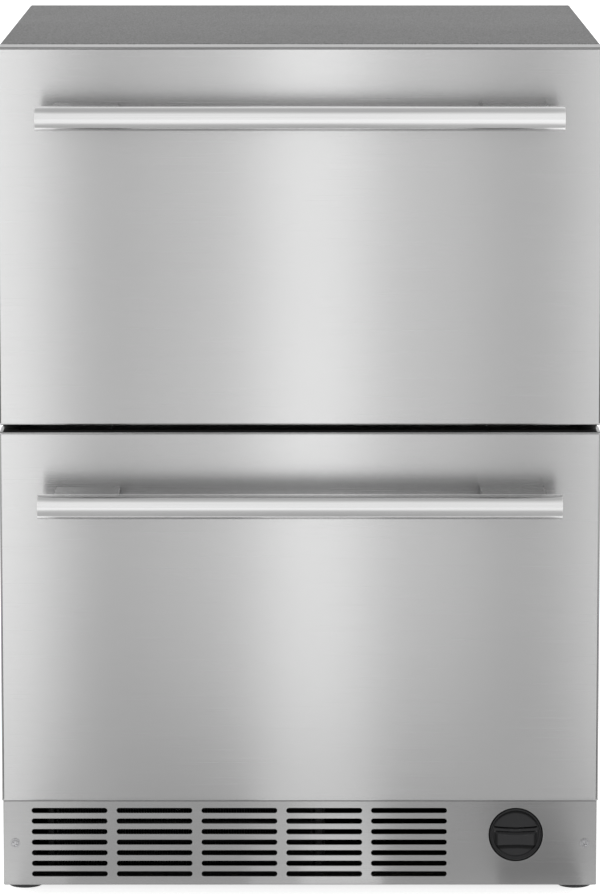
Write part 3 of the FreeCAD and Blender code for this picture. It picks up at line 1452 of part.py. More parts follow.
# ---------------------------------------------------------------- check and write
faults = []
for item in doc.Objects:
    if "Invalid" in item.State or "Error" in item.State:
        faults.append(f"{item.Label}: {item.State}")
for cut in cuts:
    before = cut.BaseFeature.Shape.Volume if cut.BaseFeature else 0
    if before - cut.Shape.Volume < 1:
        faults.append(f"{cut.Label} removes nothing")
for item in made:
    if item.Shape.isNull() or not item.Shape.isValid() or not item.Shape.Solids:
        faults.append(f"{item.Label}: bad shape")
if faults:
    raise SystemExit("\n".join(faults))
os.makedirs("parts", exist_ok=True)
for item in made:
    item.Shape.exportStep(os.path.join("parts", item.Label + ".step"))
print(len(made), "sub-parts written")
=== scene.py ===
"""Looks of the undercounter drawer refrigerator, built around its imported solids.

Metres, in the frame of the solids: X to the right seen from the front, Y to the back, Z up.
"""
import json
import math

import bmesh
import bpy
from mathutils import Matrix, Vector

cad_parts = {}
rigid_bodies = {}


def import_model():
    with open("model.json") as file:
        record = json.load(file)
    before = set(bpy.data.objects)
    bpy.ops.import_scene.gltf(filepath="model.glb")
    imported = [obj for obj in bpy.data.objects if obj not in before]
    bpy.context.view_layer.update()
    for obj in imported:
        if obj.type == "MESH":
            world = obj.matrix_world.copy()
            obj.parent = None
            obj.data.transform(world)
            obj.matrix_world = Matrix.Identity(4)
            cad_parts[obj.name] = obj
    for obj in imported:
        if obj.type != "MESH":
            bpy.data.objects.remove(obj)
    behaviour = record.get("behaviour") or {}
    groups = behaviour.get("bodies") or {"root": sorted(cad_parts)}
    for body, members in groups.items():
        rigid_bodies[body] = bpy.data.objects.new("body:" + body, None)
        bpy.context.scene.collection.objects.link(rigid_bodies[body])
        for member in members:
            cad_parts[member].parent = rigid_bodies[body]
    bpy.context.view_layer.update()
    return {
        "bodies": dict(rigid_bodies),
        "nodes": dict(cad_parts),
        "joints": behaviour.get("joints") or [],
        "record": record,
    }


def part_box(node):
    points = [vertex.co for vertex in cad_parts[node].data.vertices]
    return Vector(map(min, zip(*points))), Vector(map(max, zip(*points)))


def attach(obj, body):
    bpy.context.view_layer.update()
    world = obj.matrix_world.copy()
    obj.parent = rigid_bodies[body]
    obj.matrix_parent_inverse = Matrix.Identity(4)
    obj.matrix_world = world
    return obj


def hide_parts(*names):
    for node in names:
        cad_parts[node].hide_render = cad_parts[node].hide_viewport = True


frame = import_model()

NODES = frame["nodes"]


# ---------------------------------------------------------------- places read from the solids
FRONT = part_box("upper_front_skin")[0].y
SLOT_FIRST_X, SLOT_STEP_X = -0.23455, 0.0864
SLOT_FIRST_DROP, SLOT_STEP_Z = 0.010, 0.011
SLOT_HALF, SLOT_END = 0.03845, 0.0025
SCREW_RIM = 0.0047
VALVE_HEIGHT = 0.120
HOOD_HALF = 0.0575
BEND_RADIUS = 0.0022

# lamps before the fronts: name, place across, width, brightness, and share of it at the foot
FRONT_LAMPS = [
    ("middle_lamp", 0.018, 0.13, 2.0, 0.6),
    ("left_shoulder_lamp", -0.125, 0.15, 0.55, 0.7),
    ("right_shoulder_lamp", 0.165, 0.11, 0.7, 0.7),
    ("left_lamp", -0.45, 0.32, 1.85, 0.8),
    ("right_lamp", 0.478, 0.30, 1.3, 0.9),
]

# lamps on the floor before the toe grille: place across, width and brightness
GRILLE_LAMPS = [
    (-0.38, 0.18, 1.4), (-0.265, 0.05, 0.9), (-0.148, 0.19, 0.5), (-0.026, 0.053, 0.9),
    (0.042, 0.085, 1.45), (0.145, 0.12, 0.45), (0.375, 0.17, 0.75),
]


# ---------------------------------------------------------------- camera, floor and lights
def make_camera():
    """A long lens in front of the drawers, looking slightly down as in the photograph."""
    distance = 4.785
    height = 1.245
    pitch = math.radians(7.44)
    focal_pixels = 4812
    long_side = 894
    drop_pixels = 150
    data = bpy.data.cameras.new("camera")
    data.sensor_width = 36
    data.lens = focal_pixels / long_side * data.sensor_width
    data.shift_y = -drop_pixels / long_side
    data.clip_end = 100
    camera = bpy.data.objects.new("camera", data)
    camera.location = (0, FRONT - distance, height)
    camera.rotation_euler = (math.pi / 2 - pitch, 0, 0)
    bpy.context.scene.collection.objects.link(camera)
    bpy.context.scene.camera = camera


def area_light(name, place, target, width, height, power, only_on=None):
    """A rectangular lamp that the camera doesn't see."""
    data = bpy.data.lights.new(name, "AREA")
    data.shape = "RECTANGLE"
    data.size, data.size_y = width, height
    data.energy = power
    lamp = bpy.data.objects.new(name, data)
    lamp.location = place
    lamp.rotation_euler = (Vector(target) - Vector(place)).to_track_quat("-Z", "Y").to_euler()
    lamp.visible_camera = False
    bpy.context.scene.collection.objects.link(lamp)
    if only_on:
        lamp.light_linking.receiver_collection = only_on
    return lamp


def make_world():
    """White all round and darker overhead, like the walls and ceiling of a studio."""
    world = bpy.data.worlds.new("studio")
    bpy.context.scene.world = world
    world.use_nodes = True
    nodes, links = world.node_tree.nodes, world.node_tree.links
    split = nodes.new("ShaderNodeSeparateXYZ")
    links.new(nodes.new("ShaderNodeTexCoord").outputs["Generated"], split.inputs[0])
    fall = nodes.new("ShaderNodeMapRange")
    fall.interpolation_type = "SMOOTHSTEP"
    for socket, value in {"From Min": 0.68, "From Max": 1.0, "To Min": 1.0, "To Max": 0.52}.items():
        fall.inputs[socket].default_value = value
    links.new(split.outputs["Z"], fall.inputs["Value"])
    nodes["Background"].inputs["Color"].default_value = (1, 1, 1, 1)
    links.new(fall.outputs[0], nodes["Background"].inputs["Strength"])


def make_front_lights(pieces):
    """Upright lamps before the drawers that draw the broad upright bands on their steel."""
    steel_fronts, grille_front, cap_front = (
        bpy.data.collections.new(name) for name in ("steel_fronts", "grille_front", "cap_front"))
    for piece, collection in zip(pieces, (steel_fronts, steel_fronts, grille_front,
                                          grille_front, cap_front)):
        collection.objects.link(piece)
    stand_off, gap, height = 0.8, 0.03, 1.7
    reach = FRONT - stand_off
    length = stand_off - gap
    for name, x, width, radiance, foot_share in FRONT_LAMPS:
        power = math.pi * width * radiance
        area_light(name, (x, reach, height / 2), (x, FRONT, height / 2), width, height,
                   power * height, steel_fronts)
        foot_light(name + "_foot", x, reach + length / 2, width, length, radiance * foot_share,
                   steel_fronts)
    foot_light("broad_foot", 0, reach + length / 2, 1.5, length, 0.5, steel_fronts)
    for number, (x, width, radiance) in enumerate(GRILLE_LAMPS):
        foot_light(f"grille_foot_{number}", x, reach + length / 2, width, length, radiance,
                   grille_front)
    area_light("cap_lamp", (0.22, FRONT - 1.0, 0.85), (0.22, FRONT, 0.07), 0.2, 0.2, 25,
               cap_front)


def foot_light(name, x, y, width, length, radiance, only_on):
    """A lamp that lies on the floor and shines upwards."""
    lamp = area_light(name, (x, y, 0.004), (x, y, 1), width, length,
                      math.pi * width * length * radiance, only_on)
    lamp.rotation_euler = (math.pi, 0, 0)


# ---------------------------------------------------------------- surfaces
class Surface:
    """A material worked out from a piece's own coordinates, in metres."""

    def __init__(self, name, **constants):
        self.material = bpy.data.materials.new(name)
        self.material.use_nodes = True
        self.nodes = self.material.node_tree.nodes
        self.links = self.material.node_tree.links
        self.shader = self.nodes["Principled BSDF"]
        self.place = self.nodes.new("ShaderNodeTexCoord").outputs["Object"]
        for socket, value in constants.items():
            self.shader.inputs[socket.replace("_", " ")].default_value = value

    def node(self, kind, link=(), **settings):
        made = self.nodes.new("ShaderNode" + kind)
        for key, value in settings.items():
            setattr(made, key, value)
        for socket, value in dict(link).items():
            if hasattr(value, "is_output"):
                self.links.new(value, made.inputs[socket])
            else:
                made.inputs[socket].default_value = value
        return made

    def stretched(self, across, along, up):
        """Coordinates scaled apart on the three axes."""
        return self.node("Mapping", {"Vector": self.place, "Scale": (across, along, up)}).outputs[0]

    def noise(self, scale, detail=2.0, rough=0.5):
        """A noise between 0 and 1. The scale is a number or three, per metre."""
        if isinstance(scale, tuple):
            vector, size = self.stretched(*scale), 1.0
        else:
            vector, size = self.place, scale
        return self.node("TexNoise", {
            "Vector": vector, "Scale": size, "Detail": detail, "Roughness": rough}).outputs["Fac"]

    def cells(self, scale):
        """A flat random colour in each cell."""
        return self.node("TexVoronoi", {"Vector": self.place, "Scale": scale}).outputs["Color"]

    def spread(self, value, low, high, start=0.3, stop=0.7):
        """A value between start and stop laid out between low and high."""
        return self.node("MapRange", {
            "Value": value, "From Min": start, "From Max": stop,
            "To Min": low, "To Max": high}).outputs[0]

    def mixed(self, factor, first, second):
        """Two colours mixed by a factor."""
        node = self.node("Mix", data_type="RGBA")
        self.join(factor, node.inputs["Factor"])
        for socket, colour in (("A", first), ("B", second)):
            plug = next(s for s in node.inputs if s.name == socket and s.type == "RGBA")
            if isinstance(colour, (tuple, list)):
                plug.default_value = (*colour, 1)
            else:
                self.links.new(colour, plug)
        return next(s for s in node.outputs if s.type == "RGBA")

    def join(self, value, plug):
        if hasattr(value, "is_output"):
            self.links.new(value, plug)
        else:
            plug.default_value = value

    def paint(self, **sockets):
        """Link or set the shader's own inputs."""
        for name, value in sockets.items():
            self.join(value, self.shader.inputs[name.replace("_", " ")])
        return self

    def bumped(self, height, depth, strength=1.0):
        """Relief from a height between 0 and 1 and its depth in metres."""
        bump = self.node("Bump", {"Height": height, "Distance": depth, "Strength": strength})
        self.links.new(bump.outputs[0], self.shader.inputs["Normal"])
        return self

    def brushed(self, amount):
        """Highlights drawn out round the X axis, as brushing along X gives them."""
        tangent = self.node("Tangent", direction_type="RADIAL", axis="X")
        self.links.new(tangent.outputs[0], self.shader.inputs["Tangent"])
        self.shader.inputs["Anisotropic"].default_value = amount
        return self


def grey(level, tint=0.0):
    """A neutral colour, a little blue for a tint above 0 and warm below."""
    return (level * (1 - tint), level, level * (1 + tint))


def steel(name, low, high, rough, grain=900.0, amount=0.85):
    """Stainless steel brushed along X, with fine streaks and faint wider waves."""
    look = Surface(name, Metallic=1.0)
    streak = look.noise((5.0, 60.0, grain), 3.0, 0.6)
    wave = look.noise((2.0, 3.0, 4.0), 1.0)
    tone = look.node("Math", {0: streak, 1: wave}, operation="ADD").outputs[0]
    look.paint(
        Base_Color=look.mixed(look.spread(tone, 0, 1, 0.75, 1.25), grey(low), grey(high)),
        Roughness=look.spread(streak, rough - 0.03, rough + 0.04))
    look.brushed(amount)
    return look.bumped(streak, 0.00002).material


def textured_paint(name, low, high, rough, speckle=700.0, depth=0.00008, shine=0.3):
    """Paint with light specks over a fine orange-peel relief."""
    look = Surface(name)
    grain = look.noise(speckle, 2.0, 0.7)
    blotch = look.noise(9.0, 2.0)
    tone = look.node("Math", {0: grain, 1: look.spread(blotch, -0.01, 0.01)},
                     operation="ADD").outputs[0]
    look.paint(
        Base_Color=look.mixed(look.spread(tone, 0, 1, 0.35, 0.65), grey(low), grey(high)),
        Roughness=look.spread(grain, rough - 0.05, rough + 0.05), Specular_IOR_Level=shine)
    return look.bumped(grain, depth).material


def moulded(name, colour, rough, grain=500.0, depth=0.00004, shine=0.5, variation=0.04):
    """Moulded plastic or rubber: one colour that varies a little, over a fine grain."""
    look = Surface(name)
    fine = look.noise(grain, 2.0, 0.6)
    cloud = look.noise(7.0, 2.0)
    darker = tuple(channel * (1 - 2 * variation) for channel in colour)
    look.paint(
        Base_Color=look.mixed(look.spread(cloud, 0, 1), darker, colour),
        Roughness=look.spread(fine, rough - 0.05, rough + 0.05), Specular_IOR_Level=shine)
    return look.bumped(fine, depth).material


def metal(name, colour, rough, spots=250.0, variation=0.08, depth=0.00003):
    """Bare or plated metal with faint spots and patches of different shine."""
    look = Surface(name, Metallic=1.0)
    fine = look.noise(spots, 3.0, 0.6)
    patch = look.noise(14.0, 3.0, 0.6)
    darker = tuple(channel * (1 - 2 * variation) for channel in colour)
    look.paint(
        Base_Color=look.mixed(look.spread(patch, 0, 1), darker, colour),
        Roughness=look.spread(fine, rough - 0.06, rough + 0.08))
    return look.bumped(fine, depth).material


def galvanised(name):
    """Zinc coating with its spangle: flat crystals of slightly different grey."""
    look = Surface(name, Metallic=0.9)
    crystal = look.cells(150.0)
    tone = look.node("SeparateColor", {"Color": crystal}).outputs[0]
    fine = look.noise(600.0, 2.0)
    look.paint(
        Base_Color=look.mixed(look.spread(tone, 0, 1, 0, 1), grey(0.27, 0.02), grey(0.34, 0.02)),
        Roughness=look.spread(tone, 0.30, 0.42, 0, 1))
    return look.bumped(fine, 0.00003).material


def frosted_lens(name):
    look = Surface(name, Roughness=0.35, IOR=1.49)
    ribs = look.node("TexWave", {"Vector": look.place, "Scale": 160.0},
                     bands_direction="X").outputs["Fac"]
    look.paint(Base_Color=look.mixed(ribs, (0.86, 0.88, 0.9), (0.97, 0.98, 1.0)))
    return look.bumped(ribs, 0.0002).material


STEEL = steel("brushed_steel", 0.285, 0.30, 0.24, grain=2500.0, amount=0.55)
GRILLE_STEEL = steel("grille_steel", 0.27, 0.285, 0.24, grain=2500.0, amount=0.55)
BAR_STEEL = steel("bar_steel", 0.72, 0.80, 0.16, grain=1500.0, amount=0.3)
WRAP_PAINT = textured_paint("wrap_paint", 0.145, 0.342, 0.85, shine=0.12)
FRAME_PAINT = textured_paint("frame_paint", 0.012, 0.03, 0.4, speckle=1200.0)
COIL_PAINT = textured_paint("coil_paint", 0.008, 0.02, 0.5, speckle=400.0)
SHELL_PAINT = textured_paint("shell_paint", 0.012, 0.022, 0.25, speckle=200.0, shine=0.6)
GALVANISED = galvanised("galvanised")
ZINC = metal("zinc", (0.58, 0.59, 0.6), 0.3)
ALUMINIUM = metal("aluminium", (0.78, 0.79, 0.8), 0.32)
COPPER = metal("copper", (0.72, 0.40, 0.26), 0.3, variation=0.15)
FOAM = moulded("foam", (0.80, 0.70, 0.42), 0.9, grain=900.0, depth=0.0004, shine=0.2, variation=0.1)
LINER_PLASTIC = moulded("liner_plastic", (0.80, 0.82, 0.83), 0.32)
BIN_PLASTIC = moulded("bin_plastic", (0.74, 0.77, 0.79), 0.22)
BLACK_PLASTIC = moulded("black_plastic", (0.024, 0.024, 0.025), 0.5, grain=900.0, shine=0.2)
CAP_PLASTIC = moulded("cap_plastic", (0.014, 0.014, 0.0145), 0.45, grain=900.0, shine=0.12)
PAN_PAINT = textured_paint("pan_paint", 0.008, 0.014, 0.6, speckle=1200.0, shine=0.15)
# black of the slide stops, and painted shade for the gap between the two fronts on the trim there
BLACK_TRIM_AND_GAP_SHADE = moulded("black_trim_and_gap_shade", (0.008, 0.008, 0.008), 0.6, grain=900.0, shine=0.15)
FOOT_PLASTIC = moulded("foot_plastic", (0.014, 0.014, 0.015), 0.5, grain=700.0)
BRIGHT_STEEL = metal("bright_steel", (0.44, 0.44, 0.45), 0.42)
POST_STEEL = steel("post_steel", 0.275, 0.305, 0.26, grain=1500.0, amount=0.3)
WHITE_PLASTIC = moulded("white_plastic", (0.78, 0.78, 0.76), 0.38)
RUBBER = moulded("rubber", (0.035, 0.035, 0.036), 0.7, shine=0.3)
GASKET = moulded("gasket_vinyl", (0.10, 0.10, 0.105), 0.55, shine=0.35)
LENS = frosted_lens("lens")
DARK_GLASS = moulded("dark_glass", (0.01, 0.012, 0.014), 0.12, grain=80.0, depth=0.000005,
                     shine=0.6)


def finish_foam():
    """The foam is the one solid that shows as it is."""
    for slot in NODES["cabinet_insulation"].material_slots:
        slot.material = FOAM


# ---------------------------------------------------------------- shapes
class Form:
    """A mesh under construction, in metres, in the frame of the solids."""

    def __init__(self):
        self.mesh = bmesh.new()

    def ring(self, points):
        return [self.mesh.verts.new(point) for point in points]

    def band(self, first, second, closed=True):
        """Faces between two rings. A ring of one point closes the band to a tip."""
        count = max(len(first), len(second))
        faces = []
        for here in range(count if closed else count - 1):
            there = (here + 1) % count
            corners = []
            for ring, order in ((first, (here, there)), (second, (there, here))):
                corners += [ring[0]] if len(ring) == 1 else [ring[index] for index in order]
            faces.append(self.mesh.faces.new(corners))
        return faces

    def loft(self, rings, closed=True, capped=True):
        """A skin over several rings, with its ends closed."""
        for first, second in zip(rings, rings[1:]):
            self.band(first, second, closed)
        if capped:
            for ring in (rings[0], rings[-1]):
                if len(ring) > 2:
                    self.mesh.faces.new(ring)

    def turned(self, profile, frame, sides=48):
        """A profile of (radius, height) pairs swept round the Z axis of a frame."""
        rings = []
        for radius, height in profile:
            count = sides if radius > 0 else 1
            rings.append(self.ring(
                frame @ Vector((radius * math.cos(2 * math.pi * step / count),
                                radius * math.sin(2 * math.pi * step / count), height))
                for step in range(count)))
        self.loft(rings)

    def block(self, low, high, radius=0.0008, segments=2):
        """A box with rounded edges."""
        made = bmesh.ops.create_cube(self.mesh, size=1.0)["verts"]
        low, high = Vector(low), Vector(high)
        for vertex in made:
            vertex.co = (low + high) / 2 + vertex.co * (high - low)
        edges = {edge for vertex in made for edge in vertex.link_edges}
        if radius:
            bmesh.ops.bevel(self.mesh, geom=list(edges), offset=radius, segments=segments,
                            profile=0.5, affect="EDGES")

    def sheet(self, outer, holes, place, depth, rounded, flange=0.0, steps=3, round_back=False):
        """A flat sheet with holes and rounded front edges.

        Outlines are lists of (across, up) pairs and place(across, up, out) puts them in
        space. A flange folds the sheet's rim back by that much.
        """
        front, back = [], []
        lines = [(outer, -1)] + [(hole, 1) for hole in holes]
        for line, side in lines:
            profile = [(-rounded * (1 - math.sin(turn)), rounded * (1 - math.cos(turn)))
                       for turn in (math.pi / 2 * step / steps for step in range(steps + 1))]
            if side < 0 and flange:
                profile = [(-depth, depth), (-flange, depth), (-flange, 0)] + profile
            elif round_back:
                profile = [(-depth - out, inset) for out, inset in reversed(profile)] + profile
            else:
                profile = [(-depth, 0)] + profile
            rings = [self.ring(place(across, up, out) for across, up in moved(line, side * inset))
                     for out, inset in profile]
            for first, second in zip(rings, rings[1:]):
                self.band(first, second)
            back += closed_edges(rings[0])
            front += closed_edges(rings[-1])
        for rim in (front, back):
            for edge in rim:
                edge.smooth = False
            bmesh.ops.triangle_fill(self.mesh, edges=rim, use_beauty=True, use_dissolve=False)

    def swept(self, outline, place, profile, closed=False, first=False, last=False):
        """A profile of (outwards, out) pairs carried round an outline."""
        rings = [self.ring(place(across, up, out) for across, up in moved(outline, away))
                 for away, out in profile]
        for one, two in zip(rings, rings[1:]):
            self.band(one, two)
        if closed:
            self.band(rings[-1], rings[0])
        if first:
            self.mesh.faces.new(rings[0])
        if last:
            self.mesh.faces.new(rings[-1])

    def tube(self, path, radius, sides=16):
        """A round tube along a route of points."""
        rings = []
        side = (path[1] - path[0]).orthogonal()
        for index, spot in enumerate(path):
            ahead = (path[min(index + 1, len(path) - 1)] - path[max(index - 1, 0)]).normalized()
            side = (side - ahead * side.dot(ahead)).normalized()
            up = ahead.cross(side)
            turns = (2 * math.pi * step / sides for step in range(sides))
            rings.append(self.ring(
                spot + (side * math.cos(turn) + up * math.sin(turn)) * radius for turn in turns))
        self.loft(rings)

    def done(self, name, material, replaced=(), body="cabinet", crease=35):
        """The finished piece: smooth but for edges sharper than the crease angle."""
        bmesh.ops.recalc_face_normals(self.mesh, faces=self.mesh.faces)
        for edge in self.mesh.edges:
            if len(edge.link_faces) == 2 and edge.calc_face_angle(0) > math.radians(crease):
                edge.smooth = False
        for face in self.mesh.faces:
            face.smooth = True
        mesh = bpy.data.meshes.new(name)
        self.mesh.to_mesh(mesh)
        self.mesh.free()
        mesh.materials.append(material)
        piece = bpy.data.objects.new(name, mesh)
        bpy.context.scene.collection.objects.link(piece)
        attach(piece, body)
        if replaced:
            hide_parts(*replaced)
        return piece


def closed_edges(ring):
    """The edges along a ring of points."""
    edges = []
    for here, vertex in enumerate(ring):
        after = ring[(here + 1) % len(ring)]
        edges.append(next(edge for edge in vertex.link_edges if edge.other_vert(vertex) is after))
    return edges


def moved(points, distance):
    """A closed counter-clockwise outline moved outwards, or inwards below zero."""
    result = []
    for index, (x, y) in enumerate(points):
        before, after = points[index - 1], points[(index + 1) % len(points)]
        first = Vector((y - before[1], before[0] - x)).normalized()
        second = Vector((after[1] - y, x - after[0])).normalized()
        push = (first + second) * distance / (1 + first.dot(second))
        result.append((x + push.x, y + push.y))
    return result


def rounded_outline(across, up, half_width, half_height, radius, steps=6):
    """A rectangle with round corners; a slot or circle where the radius takes it all."""
    points = []
    for right, top, start in ((1, 1, 0), (-1, 1, 90), (-1, -1, 180), (1, -1, 270)):
        for step in range(steps + 1):
            turn = math.radians(start + 90 * step / steps)
            point = (across + right * (half_width - radius) + radius * math.cos(turn),
                     up + top * (half_height - radius) + radius * math.sin(turn))
            if not points or math.dist(point, points[-1]) > 1e-6:
                points.append(point)
    if math.dist(points[0], points[-1]) < 1e-6:
        points.pop()
    return points


def facing_front(y):
    """Puts (across, up, out) so that out points to the front from a plane at y."""
    return lambda across, up, out: (across, y - out, up)


def axis_frame(place, direction):
    """A frame whose Z axis points in a direction."""
    turn = Vector((0, 0, 1)).rotation_difference(Vector(direction))
    return Matrix.Translation(place) @ turn.to_matrix().to_4x4()


def facing_back(y):
    return lambda across, up, out: (across, y + out, up)


def upwards(level):
    """Puts (across, along, out) so that the outline lies flat and out points up."""
    return lambda across, along, out: (across, along, level + out)


def bent(points, radius, steps=8):
    """A route with its corners rounded."""
    points = [Vector(point) for point in points]
    path = [points[0]]
    for before, corner, after in zip(points, points[1:], points[2:]):
        start, stop = (before - corner).normalized(), (after - corner).normalized()
        half = start.angle(stop) / 2
        centre = corner + (start + stop).normalized() * radius / math.sin(half)
        first = (corner + start * radius / math.tan(half) - centre).normalized()
        second = (corner + stop * radius / math.tan(half) - centre).normalized()
        path += [centre + first.slerp(second, step / steps) * radius for step in range(steps + 1)]
    return path + [points[-1]]


def mm(*pairs):
    """A profile given in millimetres."""
    return [(first / 1000, second / 1000) for first, second in pairs]


def middle(node):
    low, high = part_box(node)
    return (low + high) / 2


def disc(x, z, radius, steps=6):
    return rounded_outline(x, z, radius, radius, radius, steps)


def face_outline(node, radius, steps, inset=0.0):
    """The outline of a solid seen from the front, with round corners."""
    low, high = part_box(node)
    spot, half = (low + high) / 2, (high - low) / 2
    return rounded_outline(spot.x, spot.z, half.x - inset, half.z - inset, radius, steps)


# ---------------------------------------------------------------- front pieces
def make_front_skin(drawer):
    """The steel front: a pan folded from one sheet with a tight bend round its face."""
    low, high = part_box(f"{drawer}_front_skin")
    form = Form()
    form.sheet(face_outline(f"{drawer}_front_skin", 0.0012, 3), [], facing_front(low.y), 0.0012,
               BEND_RADIUS, flange=high.y - low.y, steps=7)
    return form.done(f"{drawer}_steel_front", STEEL, [f"{drawer}_front_skin"],
                     f"{drawer}_drawer")


def make_toe_grille():
    """The slotted steel tray with the screw holes and the filter's hole."""
    low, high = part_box("toe_grille")
    cap = middle("filter_cap")
    screw_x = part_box("grille_screws")[1].x - SCREW_RIM
    holes = [rounded_outline(SLOT_FIRST_X + column * SLOT_STEP_X,
                             high.z - SLOT_FIRST_DROP - row * SLOT_STEP_Z,
                             SLOT_HALF, SLOT_END, SLOT_END)
             for column in range(5) for row in range(7)]
    holes.append(disc(cap.x, cap.z, 0.0276, 14))
    holes += [disc(side * screw_x, middle("grille_screws").z, 0.0022) for side in (-1, 1)]
    form = Form()
    form.sheet(face_outline("toe_grille", 0.0012, 3), holes, facing_front(low.y), 0.0015, 0.0005,
               flange=high.y - low.y)
    return form.done("slotted_toe_grille", GRILLE_STEEL, ["toe_grille"])


def make_grille_screws():
    """Pan-head screws with a cross recess on thin washers."""
    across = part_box("grille_screws")[1].x - SCREW_RIM
    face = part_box("toe_grille")[0].y
    dome_radius, arm_half, arm_length = 0.0032, 0.0006, 0.0022
    form = Form()
    for side in (-1, 1):
        frame = axis_frame((side * across, face, middle("grille_screws").z), (0, -1, 0))
        form.turned([(0.0022, 0), (SCREW_RIM, 0), (SCREW_RIM, 0.0005), (0.0044, 0.0009),
                     (0.0038, 0.0009), (0.0036, 0.0002), (0.0028, 0.0002)], frame, 40)
        rings = []
        for step in range(17):
            radius = dome_radius * step / 16
            points = []
            for turn in (2 * math.pi * n / 64 for n in range(64 if step else 1)):
                nearer, farther = sorted(abs(radius * way(turn + 0.5))
                                         for way in (math.cos, math.sin))
                sink = 0.0018 if nearer < arm_half and farther < arm_length else 0
                points.append(frame @ Vector((
                    radius * math.cos(turn), radius * math.sin(turn),
                    0.0024 - 0.0009 * (radius / dome_radius) ** 2 - sink)))
            rings.append(form.ring(points))
        rings.append(form.ring(frame @ Vector((0.0036 * math.cos(2 * math.pi * n / 64),
                                               0.0036 * math.sin(2 * math.pi * n / 64), 0.0010))
                               for n in range(64)))
        form.loft(rings, capped=False)
        form.turned([(0.0020, -0.014), (0.0020, 0.0010)], frame, 20)
    return form.done("cross_recess_screws", BRIGHT_STEEL, ["grille_screws"], crease=30)


def ramp(value, start, stop):
    """Rises smoothly from 0 to 1 between two values."""
    share = min(1, max(0, (value - start) / (stop - start)))
    return share * share * (3 - 2 * share)


def cap_relief(across, up):
    """How far the cap's face stands out, in millimetres from its centre and the grille's face.

    A dished floor, a curved pit over a waisted grip with bevelled ends, and a finger groove.
    """
    away = math.hypot(across, up)
    out = -4.6 + 0.4 * away * away / 600 - 1.2 * ramp(away, 22.5, 25)
    bow = 1 - (across / 22) ** 2
    top, bottom = 6.4 - 1.5 * bow, -12.6 + 1.2 * bow
    plinth = ramp(up, bottom - 0.3, bottom + 0.3) * ramp(up, top + 0.3, top - 0.3)
    plinth *= ramp(abs(across), 23.2, 22.6)
    ends = ramp(abs(across), 22.2, 17.6)
    lifted = up + 1.2 * bow
    body = ramp(up, bottom + 0.6, bottom + 1.6) * ramp(lifted, 2.6, 2.0)
    groove = ramp(lifted, 3.4, 3.0) * ramp(lifted, 1.6, 2.0)
    pit = ramp(up, top + 1.5, top + 1.1) * ramp(up, top - 0.5, top - 0.1)
    out += plinth * 0.7
    out += body * ends * 6.4
    out -= groove * ramp(abs(across), 20.5, 18.5) * 4.0
    return out - pit * ramp(abs(across), 22.4, 20.0) * 5.5


def make_filter_cap():
    """The filter's twist cap, turned and with the relief of its grip."""
    spot = middle("filter_cap")
    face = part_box("toe_grille")[0].y
    frame = axis_frame((spot.x, face, spot.z), (0, -1, 0))
    form = Form()
    inner = 0.0250
    form.turned([(0.0200, -0.0115), (0.0236, -0.0115), (0.0236, -0.0030), (0.0262, -0.0030),
                 (0.0264, -0.0026), (0.0264, 0.0002), (0.0262, 0.0008), (0.0258, 0.0011),
                 (0.0254, 0.0008), (0.0252, 0.0002), (inner, -0.0006), (inner, -0.0050),
                 (0.0200, -0.0115)], frame, 128)
    rows = []
    count = 132
    for row in range(count + 1):
        line = []
        for column in range(count + 1):
            flat = [2 * step / count - 1 for step in (column, row)]
            across = inner * flat[0] * math.sqrt(1 - flat[1] ** 2 / 2)
            up = inner * flat[1] * math.sqrt(1 - flat[0] ** 2 / 2)
            out = cap_relief(across * 1000, up * 1000) / 1000
            line.append((spot.x + across, face - out, spot.z + up))
        rows.append(form.ring(line))
    for below, above in zip(rows, rows[1:]):
        form.band(below, above, closed=False)
    return form.done("twist_cap", CAP_PLASTIC, ["filter_cap"], "filter", crease=60)


def make_handle(drawer):
    """A straight round bar with plugged ends on two broad posts."""
    low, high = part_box(f"{drawer}_handle_bar")
    axis_y, axis_z = (low.y + high.y) / 2, (low.z + high.z) / 2
    radius = (high.z - low.z) / 2
    half = (high.x - low.x) / 2
    form = Form()
    profile = [(0, -half + 0.0004), (0.0102, -half + 0.0004), (0.0104, -half + 0.0008),
               (0.0107, -half + 0.0008), (0.0109, -half), (radius - 0.0007, -half),
               (radius - 0.0002, -half + 0.0002), (radius, -half + 0.0007)]
    profile += [(radius, -half + half * 2 * step / 24) for step in range(1, 24)]
    profile += [(size, -along) for size, along in reversed(profile[:8])]
    form.turned(profile, axis_frame((0, axis_y, axis_z), (1, 0, 0)), 96)
    form.done(f"{drawer}_round_bar", BAR_STEEL, [f"{drawer}_handle_bar"], f"{drawer}_drawer",
              crease=40)
    form = Form()
    low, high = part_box(f"{drawer}_handle_posts")
    half_high = (high.z - low.z) / 2
    steps = 14
    arc = []
    for step in range(steps + 1):
        up = half_high * (2 * step / steps - 1)
        arc.append((axis_y + math.sqrt((radius + 0.0001) ** 2 - up * up), axis_z + up))
    outline = [(high.y, axis_z + half_high), *reversed(arc), (high.y, axis_z - half_high)]
    post_width = 0.065
    for end, line in ((post_width - high.x, outline), (high.x, outline[::-1])):
        form.sheet(line, [], lambda along, up, out: (end + out, along, up), post_width, 0.0016,
                   steps=4, round_back=True)
    form.done(f"{drawer}_broad_posts", POST_STEEL, [f"{drawer}_handle_posts"],
              f"{drawer}_drawer", crease=40)


